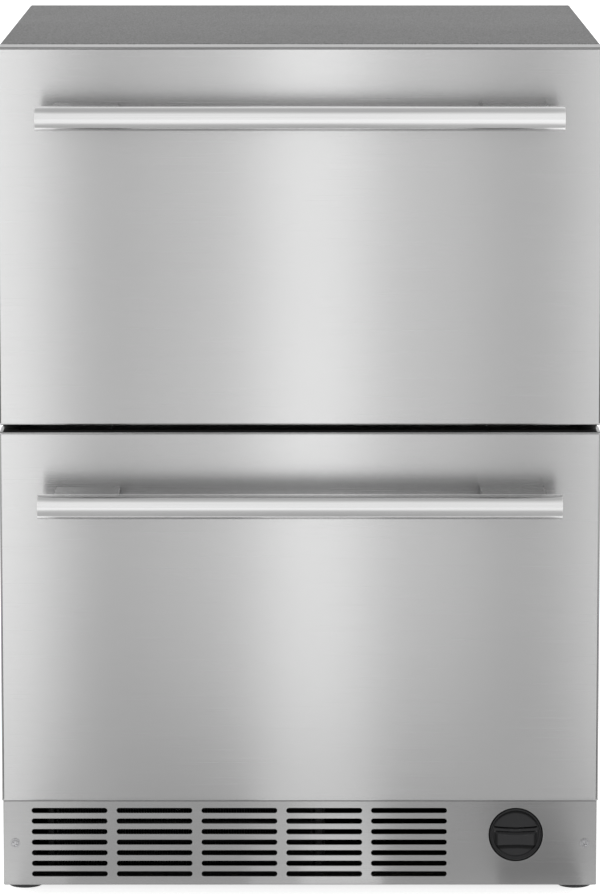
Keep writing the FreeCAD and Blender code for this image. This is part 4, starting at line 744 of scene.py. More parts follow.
def make_gap_shade_trim():
    """Black trim in five lengths over the top fold of the lower front; its black also stands in for
    the shade inside the gap between the fronts, as painted shade.
    """
    low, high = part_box("lower_front_skin")
    form = Form()
    ends = [-0.2990, -0.2823, -0.1902, 0.1892, 0.2812, 0.2990]
    joint = 0.0007
    for left, right in zip(ends, ends[1:]):
        form.block((left + joint, low.y + 0.0030, high.z + 0.0003),
                   (right - joint, high.y - 0.0015, high.z + 0.0012), 0.0003)
    form.block((ends[0], low.y + 0.0028, high.z + 0.0001),
               (ends[-1], high.y - 0.0012, high.z + 0.0005), 0.0001)
    form.done("lower_front_trim_painted_gap_shade", BLACK_TRIM_AND_GAP_SHADE, body="lower_drawer")


def make_legs():
    """Levelling feet: a ribbed hexagon-socket disc on a threaded stem."""
    for name in ("left_front", "right_front", "left_rear", "right_rear"):
        node = f"{name}_leg"
        low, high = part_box(node)
        frame = axis_frame((middle(node).x, middle(node).y, low.z), (0, 0, 1))
        form = Form()
        rings = []
        for height, radius, bite in (
                (0, 0.0168, 0), (0.0004, 0.0174, 0), (0.0008, 0.0180, 0.0005),
                (0.0062, 0.0180, 0.0005), (0.0072, 0.0175, 0.0003), (0.0080, 0.0160, 0)):
            ring = []
            for step in range(128):
                reach, turn = radius - bite * (step % 4 > 1), math.pi * step / 64
                ring.append(frame @ Vector((reach * math.cos(turn), reach * math.sin(turn),
                                            height)))
            rings.append(form.ring(ring))
        form.loft(rings)
        form.turned(mm((8.6, 8), (8.6, 10), (8, 10.8), (5, 10.8)),
                    frame, 6)
        thread = [(0.0050, 0.0105)]
        height = 0.0115
        while height < high.z - low.z - 0.001:
            thread += [(0.0049, height), (0.0043, height + 0.0006)]
            height += 0.00125
        thread += [(0.0043, high.z - low.z), (0, high.z - low.z)]
        form.turned(thread, frame, 24)
        form.done(f"{name}_levelling_foot", FOOT_PLASTIC, [node], f"{name}_foot", crease=40)


def make_front_pieces():
    pieces = [make_front_skin("upper"), make_front_skin("lower"), make_toe_grille(),
              make_grille_screws(), make_filter_cap()]
    make_handle("upper")
    make_handle("lower")
    make_gap_shade_trim()
    make_legs()
    return pieces


# ---------------------------------------------------------------- carried-over solids
def soften(node, material, radius=0.0004, segments=2, body="cabinet"):
    """A copy of a solid with small round edges, which takes the solid's place."""
    form = Form()
    form.mesh.from_mesh(NODES[node].data)
    form.mesh.transform(NODES[node].matrix_world)
    mesh = form.mesh
    bmesh.ops.remove_doubles(mesh, verts=mesh.verts, dist=0.00001)
    bmesh.ops.dissolve_limit(mesh, angle_limit=math.radians(1), verts=mesh.verts,
                             edges=mesh.edges)
    sharp = [edge for edge in mesh.edges
             if len(edge.link_faces) == 2 and edge.calc_face_angle(0) > math.radians(40)]
    bmesh.ops.bevel(mesh, geom=sharp, offset=radius, segments=segments, profile=0.5,
                    affect="EDGES", clamp_overlap=True)
    form.done(f"{node}_rounded", material, [node], body, crease=38)


# ---------------------------------------------------------------- drawer pieces
def make_bin(node, body, reach=0, material=BIN_PLASTIC):
    """A thin-walled tub with a rolled rim, a bead round its walls and a ribbed floor."""
    low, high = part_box(node)
    wall, height = 0.002, high.z - low.z
    half = (high.x - low.x) / 2 - reach
    centre = ((low.x + high.x) / 2, (low.y + high.y) / 2)
    outline = rounded_outline(*centre, half, (high.y - low.y) / 2 - reach, 0.012, 6)
    bead = height - 0.034
    outside = [(-0.0090, 0), (-0.0058, 0.0005), (-0.0026, 0.0022), (-0.0007, 0.0054), (0, 0.0098),
               (0, bead - 0.004), (0.0008, bead - 0.0032), (0.0012, bead - 0.002),
               (0.0012, bead + 0.002), (0.0008, bead + 0.0032), (0, bead + 0.004)]
    inside = [(away - wall, out + wall if away < 0 else out) for away, out in reversed(outside)]
    if reach:
        rim = [(0, height - 0.004), (0.0008, height - 0.0026), (reach - 0.0014, height - 0.0022),
               (reach - 0.0002, height - 0.0018), (reach, height - 0.0011),
               (reach - 0.0003, height - 0.0003), (reach - 0.001, height)]
    else:
        rim = [(0, height - 0.0006), (-0.0005, height)]
    rim += [(0.0006 - wall, height), (-wall, height - 0.0008)]
    form = Form()
    form.swept(outline, upwards(low.z), outside + rim + inside, first=True, last=True)
    count = round(half / 0.035)
    for step in range(-count + 1, count):
        spot = centre[0] + step * half / count
        form.block((spot - 0.0022, low.y + reach + 0.020, low.z + 0.0015),
                   (spot + 0.0022, high.y - reach - 0.020, low.z + 0.0032), 0.0007)
    form.done(f"{node}_tub", material, [node], body, crease=50)


def make_inner_panel(drawer):
    """The back of a drawer front: a moulded slab with a raised dam inside the gasket."""
    low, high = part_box(f"{drawer}_inner_panel")
    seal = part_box(f"{drawer}_gasket")
    panel_y = seal[0].y
    form = Form()
    place = facing_back(panel_y)
    form.sheet(face_outline(f"{drawer}_inner_panel", 0.002, 3), [], place, panel_y - low.y,
               0.0012, round_back=True)
    dam = face_outline(f"{drawer}_gasket", 0.014, 6, 0.039)
    tall = high.y - panel_y
    form.swept(dam, place, [
        (0.0060, -0.0005), (0.0028, 0.0004), (0.0008, 0.0022), (0, 0.0050), (0, tall - 0.010),
        (-0.0008, tall - 0.0060), (-0.0032, tall - 0.0026), (-0.0066, tall - 0.0008),
        (-0.0105, tall)], last=True)
    form.swept(face_outline(f"{drawer}_gasket", 0.010, 5, -0.004), place, [
        (0.003, -0.0004), (0.0022, 0.0006), (0.0010, 0.0008), (-0.0002, 0.0006),
        (-0.001, -0.0004)])
    form.done(f"{drawer}_door_liner", LINER_PLASTIC, [f"{drawer}_inner_panel"],
              f"{drawer}_drawer", crease=45)


def make_gasket(drawer):
    """A bellows gasket with a flat magnet face."""
    low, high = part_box(f"{drawer}_gasket")
    thick = high.y - low.y
    outline = face_outline(f"{drawer}_gasket", 0.0075, 5, 0.0065)
    side = [(0.0064, 0), (0.0064, 0.0010), (0.0044, 0.0016), (0.0050, 0.0026), (0.0063, 0.0034),
            (0.0050, 0.0042), (0.0046, 0.0048), (0.0060, 0.0056), (0.0062, 0.0066),
            (0.0056, thick - 0.0004), (0.0046, thick)]
    form = Form()
    form.swept(outline, facing_back(low.y),
               side + [(-away, out) for away, out in reversed(side)], closed=True)
    form.done(f"{drawer}_bellows_gasket", GASKET, [f"{drawer}_gasket"], f"{drawer}_drawer",
              crease=50)


def make_slide_details(drawer):
    """Screw heads and end bumpers on the fixed slides."""
    low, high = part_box(f"{drawer}_left_fixed_slide")
    up = (low.z + high.z) / 2
    screws, bumpers = Form(), Form()
    for side in (-1, 1):
        web = side * (-low.x - 0.0014)
        for share in (0.08, 0.36, 0.64, 0.92):
            spot = (web, low.y + share * (high.y - low.y), up)
            screws.turned(mm((3.6, 0), (3.6, 0.5), (2.6, 1.3), (1.1, 1.6), (1, 0.6), (0, 0.6)),
                          axis_frame(spot, (-side, 0, 0)), 24)
        for edge in (-1, 1):
            centre = up + edge * 0.0195
            bumpers.block((web - 0.0012, high.y - 0.010, centre - 0.0012),
                          (web + 0.0012, high.y - 0.002, centre + 0.0012), 0.0005)
    screws.done(f"{drawer}_slide_screws", BRIGHT_STEEL)
    bumpers.done(f"{drawer}_slide_stops", BLACK_TRIM_AND_GAP_SHADE)


def make_drawer_pieces():
    for drawer in ("upper", "lower"):
        make_bin(f"{drawer}_bin", f"{drawer}_drawer", 0.006)
        make_inner_panel(drawer)
        make_gasket(drawer)
    make_bin("ice_bin", "lower_drawer")
    for drawer in ("upper", "lower"):
        for side in ("left", "right"):
            soften(f"{drawer}_{side}_fixed_slide", ZINC)
        soften(f"{drawer}_middle_slides", ZINC, body=f"{drawer}_slide_stage")
        soften(f"{drawer}_drawer_slides", ZINC, body=f"{drawer}_drawer")
        make_slide_details(drawer)


# ---------------------------------------------------------------- rear and case
def hexagon_screw(form, spot, direction):
    """A hexagon head with its washer flange."""
    frame = axis_frame(spot, direction)
    form.turned(mm((1, -0.5), (5.6, 0), (5.6, 0.6), (4.8, 1.1), (4, 1.1)), frame, 28)
    form.turned(mm((4.6, 0.8), (4.6, 3.4), (4, 3.9), (2.6, 3.9), (2, 3.3), (0, 3.3)), frame, 6)


def make_outer_wrap():
    """The top and sides, bent from one sheet with small round corners."""
    low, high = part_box("outer_wrap")
    left, right, top = low.x, high.x, high.z
    thick, bend = 0.001, 0.0018

    def leg(side, inset, radius):
        turns = [math.radians(90 * step / 5) for step in range(6)]
        return [(side * (right - inset - radius + radius * math.cos(turn)),
                 top - inset - radius + radius * math.sin(turn)) for turn in turns]

    outside = [(right, low.z), *leg(1, 0, bend), *reversed(leg(-1, 0, bend)), (left, low.z)]
    inside = [(left + thick, low.z), *leg(-1, thick, bend - thick),
              *reversed(leg(1, thick, bend - thick)), (right - thick, low.z)]
    form = Form()
    form.sheet(outside + inside, [], facing_back(high.y), high.y - low.y, 0.0003, steps=2,
               round_back=True)
    form.done("bent_case", WRAP_PAINT, ["outer_wrap"], crease=40)


def make_rear_panel():
    """The back sheet with shallow pressed fields and low rivets."""
    low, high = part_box("rear_panel")
    field_x, first_up, step_up, half_width, half_height = 0.146, 0.122, 0.2015, 0.118, 0.078
    fields = [rounded_outline(side * field_x, low.z + first_up + row * step_up, half_width,
                              half_height, 0.018) for side in (-1, 1) for row in range(3)]
    rivets = [(x, low.z + z) for x in (-0.288, 0.288) for z in (0.02, 0.222, 0.425, 0.627)]
    rivets += [(0, low.z + 0.02), (0, low.z + 0.627)]
    dimples = [disc(x, z, 0.0075) for x, z in rivets]
    form = Form()
    place = facing_back(high.y)
    form.sheet(face_outline("rear_panel", 0.0008, 2), fields + dimples, place, 0.0010, 0.0002,
               steps=2)
    for dents, slope in ((fields, mm((-1.5, -0.3), (-4, -0.8), (-6, -0.9))),
                         (dimples, mm((-1.2, -0.4), (-3, -0.8), (-3.6, -0.9)))):
        for dent in dents:
            form.swept(dent, place, [(0, -0.0002), *slope], last=True)
    form.done("pressed_rear_panel", GALVANISED, ["rear_panel"], crease=45)
    heads = Form()
    for x, z in rivets:
        heads.turned(mm((3, -0.9), (3, -0.6), (2.2, -0.2), (0.9, -0.1), (0.7, -0.6), (0, -0.6)),
                     axis_frame((x, high.y, z), (0, 1, 0)), 24)
    heads.done("rear_rivets", ZINC)


def make_machine_cover():
    """The lower rear cover with a hood over each louvre, and its screws."""
    low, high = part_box("machine_cover")
    valve, inlet = middle("water_valve"), middle("power_inlet")
    first_x, step_x, first_drop, step_z = -0.207, 0.140, 0.0425, 0.018
    slots = [(first_x + column * step_x, high.z - first_drop - row * step_z)
             for column in range(3) for row in range(7)]
    holes = [rounded_outline(x, z, 0.055, 0.0025, 0.0008, 2) for x, z in slots]
    holes.append(disc(valve.x, VALVE_HEIGHT, 0.0152, 8))
    holes.append(rounded_outline(inlet.x, inlet.z, 0.0150, 0.0110, 0.001, 2))
    form = Form()
    form.sheet(face_outline("machine_cover", 0.0008, 2), holes, facing_back(high.y), 0.0012,
               0.0003, steps=2)
    for x, z in slots:
        rings = []
        for step in range(17):
            along = HOOD_HALF * (2 * step / 16 - 1)
            swell = ramp(abs(along), HOOD_HALF, 0.0480)
            arc = mm((0.1, 5), (1.6, 4.6), (3.6, 3), (5, 0.6), (5.6, -2.4), (5.7, -3.6))
            outer = [(out * swell + 0.0001, up) for out, up in arc]
            inner = [(max((out - 0.0008) * swell, -0.0002), up - 0.0006) for out, up in arc]
            rings.append(form.ring((x + along, high.y + out, z + up)
                                   for out, up in outer + inner[::-1]))
        form.loft(rings)
    form.done("louvred_cover", GALVANISED, ["machine_cover"], crease=50)
    screws = Form()
    for x, z in [(side * 0.290, low.z + height) for side in (-1, 1) for height in (
            0.010, 0.103, 0.196)] + [(0, low.z + 0.196), (0, low.z + 0.010)]:
        hexagon_screw(screws, (x, high.y, z), (0, 1, 0))
    screws.done("cover_screws", ZINC)


def make_water_valve():
    """The inlet valve: ribbed block, solenoid coil with blades, thread and strainer."""
    low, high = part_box("water_valve")
    x, axis_z = (low.x + high.x) / 2, VALVE_HEIGHT
    panel_y = high.y - 0.0142
    form = Form()
    form.block((low.x, low.y, low.z), (high.x, panel_y, axis_z + 0.016), 0.002, 3)
    for step in range(4):
        up = low.z + 0.006 + step * 0.0075
        form.block((low.x - 0.0005, low.y - 0.0005, up), (high.x + 0.0005, panel_y - 0.004,
                                                          up + 0.0016), 0.0005)
    coil = axis_frame((x, panel_y - 0.0168, axis_z + 0.016), (0, 0, 1))
    form.turned(mm((6, 0), (14, 0.5), (14, 3), (12.6, 3.6), (12.6, 23.4), (14, 24), (14, 26.6),
                   (13.4, 27.4), (5, 27.4), (4.8, 28), (0, 28)), coil, 36)
    profile = mm((8, -10), (15, -0.4), (15, 0.8), (12.2, 1))
    along = 0.0020
    while along < 0.0125:
        profile += [(0.0121, along), (0.0132, along + 0.0006), (0.0132, along + 0.0009),
                    (0.0121, along + 0.0015)]
        along += 0.0019
    profile += mm((12, 13.5), (11.2, 14.2), (8.8, 14.2), (8, 13.4), (8, 3), (0, 3))
    form.turned(profile, axis_frame((x, panel_y, axis_z), (0, 1, 0)), 48)
    form.done("inlet_valve", WHITE_PLASTIC, ["water_valve"], crease=40)
    metal_parts = Form()
    for side in (-1, 1):
        metal_parts.block((x + side * 0.005 - 0.003, panel_y - 0.0310, axis_z + 0.022),
                          (x + side * 0.005 + 0.003, panel_y - 0.0302, axis_z + 0.030), 0.0002)
    mesh_frame = axis_frame((x, panel_y + 0.0032, axis_z), (0, 1, 0))
    for radius in (0.0020, 0.0038, 0.0056, 0.0074):
        metal_parts.turned([(radius, 0), (radius + 0.0003, 0), (radius + 0.0003, 0.0004),
                            (radius, 0.0004)], mesh_frame, 28)
    for turn in range(4):
        angle = math.pi * turn / 4
        metal_parts.tube([mesh_frame @ Vector((reach * math.cos(angle), reach * math.sin(angle),
                                               0.0002)) for reach in (-0.0076, 0.0076)],
                         0.0003, 6)
    metal_parts.done("valve_terminals_and_strainer", ZINC)


def make_power_inlet():
    """The snap-in socket with its three blades."""
    low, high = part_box("power_inlet")
    x, z = (low.x + high.x) / 2, (low.z + high.z) / 2
    form = Form()
    socket = [(x + across, z + up) for across, up in (
        (-0.0092, -0.0060), (0.0092, -0.0060), (0.0100, -0.0052), (0.0100, 0.0020),
        (0.0055, 0.0065), (-0.0055, 0.0065), (-0.0100, 0.0020), (-0.0100, -0.0052))]
    place = facing_back(high.y)
    form.sheet(face_outline("power_inlet", 0.003, 4), [socket], place, 0.002, 0.0006)
    form.swept(socket, place, mm((0.1, -0.6), (0, -1), (0, -14)), last=True)
    shell = rounded_outline(x, z, 0.0146, 0.0106, 0.0015, 3)
    form.swept(shell, place, mm((0, -1.8), (0, -21.3), (-0.8, -22)), last=True)
    form.done("power_socket", BLACK_PLASTIC, ["power_inlet"], crease=40)
    blades = Form()
    for across, up in ((-0.0055, -0.0012), (0.0055, -0.0012), (0, 0.0022)):
        blades.block((x + across - 0.0008, high.y - 0.0142, z + up - 0.0020),
                     (x + across + 0.0008, high.y - 0.0030, z + up + 0.0020), 0.0003)
    blades.done("socket_blades", ZINC)


def make_rear_pieces():
    make_outer_wrap()
    make_rear_panel()
    make_machine_cover()
    make_water_valve()
    make_power_inlet()


# ---------------------------------------------------------------- machine pieces
def make_compressor():
    """A welded pot with a domed lid, a terminal box, tubes and a mounting plate."""
    low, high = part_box("compressor")
    spot = Vector((-0.117, high.y - 0.075, low.z))
    bolt = 0.058
    frame = axis_frame(spot, (0, 0, 1))
    form = Form()
    form.turned(mm((0, 3), (56, 3), (64, 6), (70, 14), (72, 24), (72, 83), (74.5, 84), (75, 86),
                   (75, 88), (74, 89), (70.2, 90), (70, 112), (68, 124), (63, 135), (54, 143),
                   (40, 148), (20, 150), (0, 150)),
                frame, 72)
    plate = rounded_outline(spot.x, spot.y, 0.071, 0.071, 0.012, 5)
    bolts = [(spot.x + a * bolt, spot.y + b * bolt) for a in (-1, 1) for b in (-1, 1)]
    holes = [disc(*place, 0.0044, 4) for place in bolts]
    form.sheet(plate, holes, upwards(low.z + 0.003), 0.003, 0.0008, round_back=True)
    form.block((spot.x + 0.064, spot.y - 0.024, low.z + 0.034),
               (high.x, spot.y + 0.024, low.z + 0.080), 0.004, 3)
    form.done("compressor_pot", SHELL_PAINT, ["compressor"])
    pipes = Form()
    level = low.z + 0.050
    pipes.tube([Vector((spot.x - 0.020, low.y, level)),
                Vector((spot.x - 0.020, spot.y - 0.062, level))], 0.0036)
    for across, up in ((0.018, 0.040), (-0.002, 0.030)):
        pipes.tube(bent([(spot.x + across, spot.y - 0.066, low.z + up),
                         (spot.x + across, spot.y - 0.082, low.z + up),
                         (spot.x + across, spot.y - 0.082, low.z + up + 0.030)], 0.008), 0.0030)
    pipes.done("compressor_tubes", COPPER)
    mounts = Form()
    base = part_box("compressor_mounts")[0].z
    for x, y in bolts:
        mounts.turned(mm((4, 0), (8.5, 0), (9, 1.2), (9, 4.2), (7.8, 5.6), (7.8, 6.8), (9, 8.2),
                         (9, 12.6), (8.4, 13.8), (4.1, 14), (4, 17.2), (6.8, 17.4), (7, 19.6),
                         (6.2, 20.9), (0, 21)),
                      axis_frame((x, y, base), (0, 0, 1)), 28)
    mounts.done("rubber_grommets", RUBBER, ["compressor_mounts"])


def zigzag(left, right, y, levels):
    """A route to and fro between two ends, one level after another."""
    path = []
    for index, z in enumerate(levels):
        run = [(left, y, z), (right, y, z)]
        path += run[::-1] if index % 2 else run
    return path


def make_condenser():
    """Rows of tube with return bends through many thin fins, between end plates."""
    low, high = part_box("condenser")
    fins = Form()
    left, right = low.x + 0.014, high.x - 0.014
    count = 96
    for step in range(count):
        x = left + (right - left) * (step + 0.5) / count
        fins.block((x - 0.00018, low.y + 0.001, low.z + 0.001),
                   (x + 0.00018, high.y - 0.001, high.z - 0.001), 0)
    for x in (left, right):
        fins.block((x - 0.0007, low.y + 0.0003, low.z), (x + 0.0007, high.y - 0.0003, high.z),
                   0.0003)
    rows = [low.z + 0.0105 + 0.0176 * step for step in range(4)]
    for y in (low.y + 0.0065, high.y - 0.0065):
        fins.tube(bent(zigzag(left - 0.007, right + 0.007, y, rows), 0.0068, 5), 0.0034, 10)
    for x in (low.x + 0.007, high.x - 0.007):
        fins.block((x - 0.0035, low.y + 0.0002, low.z), (x + 0.0035, high.y - 0.0002, high.z),
                   0.001)
    fins.done("finned_condenser", COIL_PAINT, ["condenser"], crease=40)


def make_fan_blades(node, body, material):
    """A hub with five twisted, cambered blades."""
    low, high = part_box(node)
    spot = middle(node)
    form = Form()
    deep = high.y - low.y
    root, span = 0.0112, 0.0236
    frame = axis_frame((spot.x, low.y, spot.z), (0, 1, 0))
    form.turned([(0, 0.0010), (0.0024, 0.0010), (0.0026, 0), (0.0105, 0.0002), (0.0120, 0.0020),
                 (0.0120, deep), (0.0104, deep), (0.0104, deep - 0.004), (0.0030, deep - 0.004),
                 (0.0030, deep - 0.001), (0, deep - 0.001)], frame, 40)
    for blade in range(5):
        rings = []
        for step in range(9):
            share = step / 8
            radius = root + span * share
            pitch = math.radians(52 - 22 * share)
            half = 0.0086 + 0.0030 * math.sin(math.pi * min(1, share * 0.75))
            half *= 1 - 0.25 * ramp(share, 0.85, 1.0)
            front, back = [], []
            for place in range(9):
                chord = 2 * place / 8 - 1
                bulge = 0.0016 * (1 - chord * chord)
                thick = 0.0007 * (1 - chord ** 4) + 0.00015
                for line, lift in ((front, bulge + thick), (back, bulge - thick)):
                    round_way = half * chord * math.cos(pitch) - lift * math.sin(pitch)
                    deep_way = half * chord * math.sin(pitch) + lift * math.cos(pitch)
                    turn = 2 * math.pi * blade / 5 + round_way / radius + 0.25 * share
                    line.append((spot.x + radius * math.sin(turn), spot.y + deep_way,
                                 spot.z + radius * math.cos(turn)))
            rings.append(form.ring(front + back[::-1]))
        form.loft(rings)
    form.done(f"{node}_twisted", material, [node], body, crease=50)


def make_fan_motor(node):
    """A small ribbed motor on three arms, with its shaft."""
    blades = node.replace("motor", "blade")
    x, _, z = middle(blades)
    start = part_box(node)[1].y - 0.024
    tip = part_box(blades)[1].y - 0.0004 - start
    form = Form()
    frame = axis_frame((x, start, z), (0, 1, 0))
    profile = [(0, tip), (0.0021, tip), (0.0025, tip + 0.0004), (0.0025, -0.001), (0.0060, 0),
               (0.0150, 0), (0.0164, 0.0012)]
    for step in range(5):
        along = 0.0030 + step * 0.0040
        profile += [(0.0170, along), (0.0170, along + 0.0016), (0.0160, along + 0.0022),
                    (0.0160, along + 0.0034)]
    profile += mm((15, 23.6), (7, 24), (0, 24))
    form.turned(profile, frame, 40)
    form.done(f"{node}_ribbed", ZINC, [node], crease=40)
    arms = Form()
    for turn in (0, 120, 240):
        way = Vector((math.sin(math.radians(turn)), 0, math.cos(math.radians(turn))))
        across = Vector((way.z, 0, -way.x))
        rings = []
        for reach, half in ((0.013, 0.0040), (0.020, 0.0034), (0.030, 0.0034), (0.0378, 0.0034)):
            hub = Vector((x, 0, z)) + way * reach
            rings.append(arms.ring(
                (hub + across * side * half + Vector((0, start + out, 0))) for side, out in (
                    (-1, 0.0003), (-0.8, 0), (0.8, 0), (1, 0.0003), (1, 0.0027), (0.8, 0.003),
                    (-0.8, 0.003), (-1, 0.0027))))
        arms.loft(rings)
    arms.done(f"{node}_arms", BLACK_PLASTIC)


def make_machine_fittings():
    """Filter drier, discharge line and drain tray."""
    low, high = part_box("filter_drier")
    spot = ((low.x + high.x) / 2, low.y, high.z - 0.010)
    form = Form()
    form.turned(mm((1.8, 0), (3, 0), (3, 7.5), (4.2, 9.5), (7.2, 12.5), (9.2, 16.5), (10, 21.5),
                   (10, 68), (9.2, 73.5), (7.2, 77.5), (4.2, 80.5), (3, 82.5), (3, 90), (1.8, 90)),
                axis_frame(spot, (0, 1, 0)), 40)
    form.done("copper_drier", COPPER, ["filter_drier"])
    clip = Form()
    start = low.y + 0.040
    clip.swept(disc(spot[0], spot[2], 0.0108, 8), facing_back(start), [
        (0, 0), (0.0007, 0.0003), (0.0007, 0.0097), (0, 0.010), (-0.0004, 0.0095),
        (-0.0004, 0.0005)], closed=True)
    clip.block((spot[0] - 0.006, start, low.z),
               (spot[0] + 0.006, start + 0.010, spot[2] - 0.0100), 0.0006)
    clip.done("drier_clip", ZINC)
    low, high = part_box("refrigerant_lines")
    level = (low.z + high.z) / 2
    left, right = low.x + 0.003, high.x - 0.003
    run = high.y - 0.030
    line = Form()
    line.tube(bent([(right, high.y, level), (right, run, level), (left, run, level),
                    (left, low.y, level)], 0.012), 0.003, 20)
    line.done("discharge_line", COPPER, ["refrigerant_lines"])
    make_bin("drain_pan", "cabinet", material=BLACK_PLASTIC)


def make_filter():
    """The cartridge: a round-shouldered can with grooves, a sealing neck and its lugs."""
    low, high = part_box("filter_cartridge")
    x, z = (low.x + high.x) / 2, (low.z + high.z) / 2
    length = high.y - low.y
    form = Form()
    profile = mm((0, 0), (21, 0), (22.6, 0.6), (23.5, 2.4))
    for along in (0.0200, 0.0260, length - 0.052, length - 0.046):
        profile += [(0.0236, along), (0.0228, along + 0.0007), (0.0228, along + 0.0020),
                    (0.0236, along + 0.0027)]
    neck = length - 0.018
    profile += [(0.0236, neck - 0.012), (0.0228, neck - 0.0060), (0.0200, neck - 0.0016),
                (0.0160, neck - 0.0004), (0.0135, neck + 0.0004)]
    for along in (0.0125, 0.0155):
        profile += [(0.0133, neck + along), (0.0124, neck + along + 0.0002),
                    (0.0124, neck + along + 0.0014), (0.0133, neck + along + 0.0016)]
    profile += [(0.0130, length - 0.0004), (0.0124, length), (0.0050, length),
                (0.0046, length - 0.004), (0, length - 0.004)]
    form.turned(profile, axis_frame((x, low.y, z), (0, 1, 0)), 64)
    for side in (-1, 1):
        ends = sorted((x + side * 0.0125, x + side * 0.0169))
        form.block((ends[0], high.y - 0.0122, z - 0.0029), (ends[1], high.y - 0.0062, z + 0.0029),
                   0.0008)
    form.done("filter_can", WHITE_PLASTIC, ["filter_cartridge"], "filter", crease=40)
    seals = Form()
    for along in (0.0133, 0.0163):
        seals.turned([(0.0123, along - 0.0007), (0.0131, along - 0.0006), (0.01335, along),
                      (0.0131, along + 0.0006), (0.0123, along + 0.0007)],
                     axis_frame((x, low.y + neck, z), (0, 1, 0)), 48)
    seals.done("filter_seals", RUBBER, body="filter")


def make_cold_side():
    """Evaporator fins and tubes, its cover with a fan guard, and the ice maker."""
    low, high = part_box("evaporator")
    coil = Form()
    count = 76
    for step in range(count):
        x = low.x + (high.x - low.x) * (step + 0.5) / count
        coil.block((x - 0.0002, low.y, low.z), (x + 0.0002, high.y, high.z), 0)
    for y in (low.y + 0.015, high.y - 0.015):
        path = zigzag(low.x + 0.002, high.x - 0.002, y,
                      [low.z + 0.0150 + step * 0.035 for step in range(3)])
        coil.tube(bent(path, 0.0120, 6), 0.0045, 12)
    coil.done("evaporator_coil", ALUMINIUM, ["evaporator"], crease=40)
    soften("evaporator_cover", LINER_PLASTIC, 0.0010, 3)
    x, _, z = middle("evaporator_fan_blade")
    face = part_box("evaporator_cover")[0].y + 0.0010
    guard = Form()
    for radius in (0.010, 0.017, 0.024, 0.031, 0.0375):
        guard.swept(disc(x, z, radius, 10), facing_front(face), [
            (0.0009, 0), (0.0005, 0.0008), (-0.0005, 0.0008), (-0.0009, 0), (-0.0005, -0.0008),
            (0.0005, -0.0008)], closed=True)
    for turn in range(6):
        angle = math.pi * turn / 3 + 0.3
        guard.tube([Vector((x + reach * math.cos(angle), face, z + reach * math.sin(angle)))
                    for reach in (0.004, 0.0385)], 0.0010, 8)
    guard.turned(mm((6, -0.6), (6, 0.8), (5.2, 1.4), (0, 1.6)),
                 axis_frame((x, face, z), (0, -1, 0)), 28)
    guard.done("fan_guard", LINER_PLASTIC, crease=50)
    soften("ice_mould", ALUMINIUM, 0.0006)
    soften("ice_maker_drive", WHITE_PLASTIC, 0.0012, 3)
    soften("ice_ejector", WHITE_PLASTIC, 0.0005, body="ice_rake")


def make_controls():
    """The panel under the upper ceiling with a window and keys, and the two lamps."""
    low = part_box("control_panel")[0]
    soften("control_panel", BLACK_PLASTIC, 0.0008, 3)
    slope = Vector((0, low.y + 0.00325, low.z + 0.00325))
    outward = Vector((0, -1, -1)).normalized()
    keys = Form()
    for across in (-0.062, -0.044, 0.044, 0.062):
        keys.turned(mm((3, -0.6), (3, 0.3), (2.6, 0.6), (0, 0.7)),
                    axis_frame(slope + Vector((across, 0, 0)), outward), 28)
    keys.done("panel_keys", RUBBER)
    window = Form()
    frame = axis_frame(slope, outward)
    line = [frame.inverted() @ (slope + Vector((side * 0.028, 0, 0))) for side in (-1, 1)]
    run = (line[1] - line[0]).normalized()
    cross = Vector((0, 0, 1)).cross(run)
    corners = rounded_outline(0, 0, 0.028, 0.0031, 0.0012, 3)
    window.swept(corners, lambda across, up, out: frame @ (run * across + cross * up + Vector(
        (0, 0, out))), mm((0, -0.4), (0, 0.2), (-0.3, 0.4)), last=True)
    window.done("panel_window", DARK_GLASS)
    for name in ("upper_lamp", "lower_lamp"):
        soften(name, LENS, 0.0018, 4)


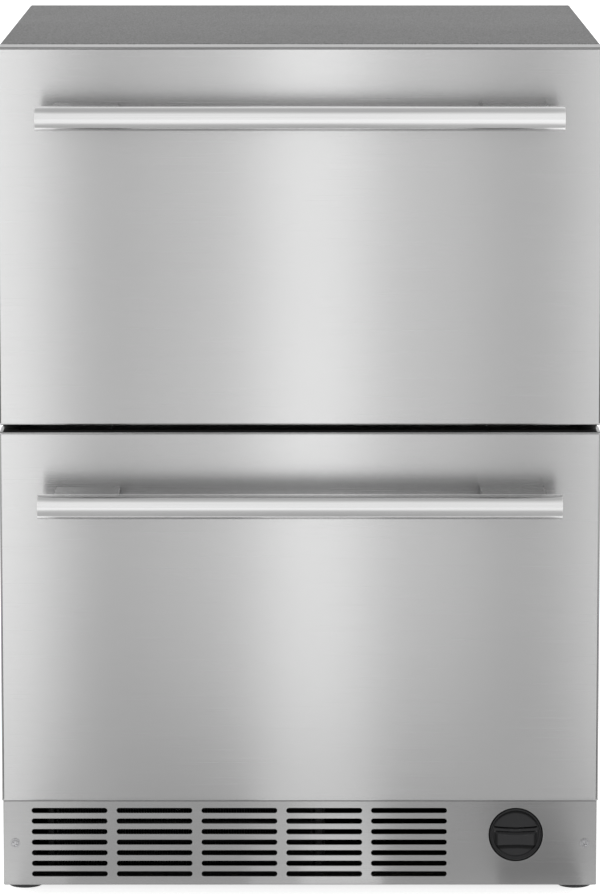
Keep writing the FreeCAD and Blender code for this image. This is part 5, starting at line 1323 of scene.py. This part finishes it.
def make_inner_pieces():
    make_compressor()
    make_condenser()
    make_fan_blades("condenser_fan_blade", "condenser_fan", BLACK_PLASTIC)
    make_fan_blades("evaporator_fan_blade", "evaporator_fan", WHITE_PLASTIC)
    make_fan_motor("condenser_fan_motor")
    make_fan_motor("evaporator_fan_motor")
    make_machine_fittings()
    make_filter()
    make_cold_side()
    make_controls()
    soften("condenser_fan_shroud", BLACK_PLASTIC, 0.0005)
    soften("filter_housing", BLACK_PLASTIC, 0.0008)
    soften("filter_valve_ring", WHITE_PLASTIC, 0.0005, body="filter_valve")
    soften("base_pan", PAN_PAINT, 0.0005)
    soften("face_frame", FRAME_PAINT, 0.0004)
    soften("upper_liner", LINER_PLASTIC, 0.0008)
    soften("lower_liner", LINER_PLASTIC, 0.0008)


def make_floor():
    """A pale floor with painted light: it glows white away from the object, and beneath and behind
    it, where the glow washes out the object's shadow.
    """
    look = Surface("pale_floor_with_painted_glow", Roughness=0.9, Specular_IOR_Level=0.1)
    cloud = look.noise(1.5, 2.0)
    tone = look.mixed(look.spread(cloud, 0, 1), grey(0.70), grey(0.72))
    # painted light: the floor glows more the farther it lies from the object
    away = look.node("VectorMath", {0: look.place}, operation="LENGTH").outputs["Value"]
    painted_glow_far_off = look.node("MapRange", {
        "Value": away, "From Min": 0.8, "From Max": 1.8, "To Min": 0.0, "To Max": 0.5},
        interpolation_type="SMOOTHSTEP").outputs[0]
    depth = look.node("SeparateXYZ", {0: look.place}).outputs["Y"]
    # painted light: the floor glows under and behind the object's front so that no shadow shows
    # there
    painted_glow_under_object = look.node("MapRange", {
        "Value": depth, "From Min": FRONT - 0.10, "From Max": FRONT + 0.02, "To Min": 0.0,
        "To Max": 0.8}, interpolation_type="SMOOTHSTEP").outputs[0]
    glow = look.node("Math", {0: painted_glow_far_off, 1: painted_glow_under_object}, operation="MAXIMUM").outputs[0]
    # the glow is emission on the floor, painted light and not a lamp
    look.paint(Base_Color=tone, Emission_Color=(1, 1, 1, 1), Emission_Strength=glow)
    form = bmesh.new()
    bmesh.ops.create_grid(form, x_segments=2, y_segments=2, size=30)
    mesh = bpy.data.meshes.new("floor")
    form.to_mesh(mesh)
    form.free()
    mesh.materials.append(look.material)
    floor = bpy.data.objects.new("floor", mesh)
    bpy.context.scene.collection.objects.link(floor)


make_camera()
make_world()
make_floor()
finish_foam()
make_front_lights(make_front_pieces())
make_drawer_pieces()
make_rear_pieces()
make_inner_pieces()
bpy.context.scene.view_settings.view_transform = "Standard"
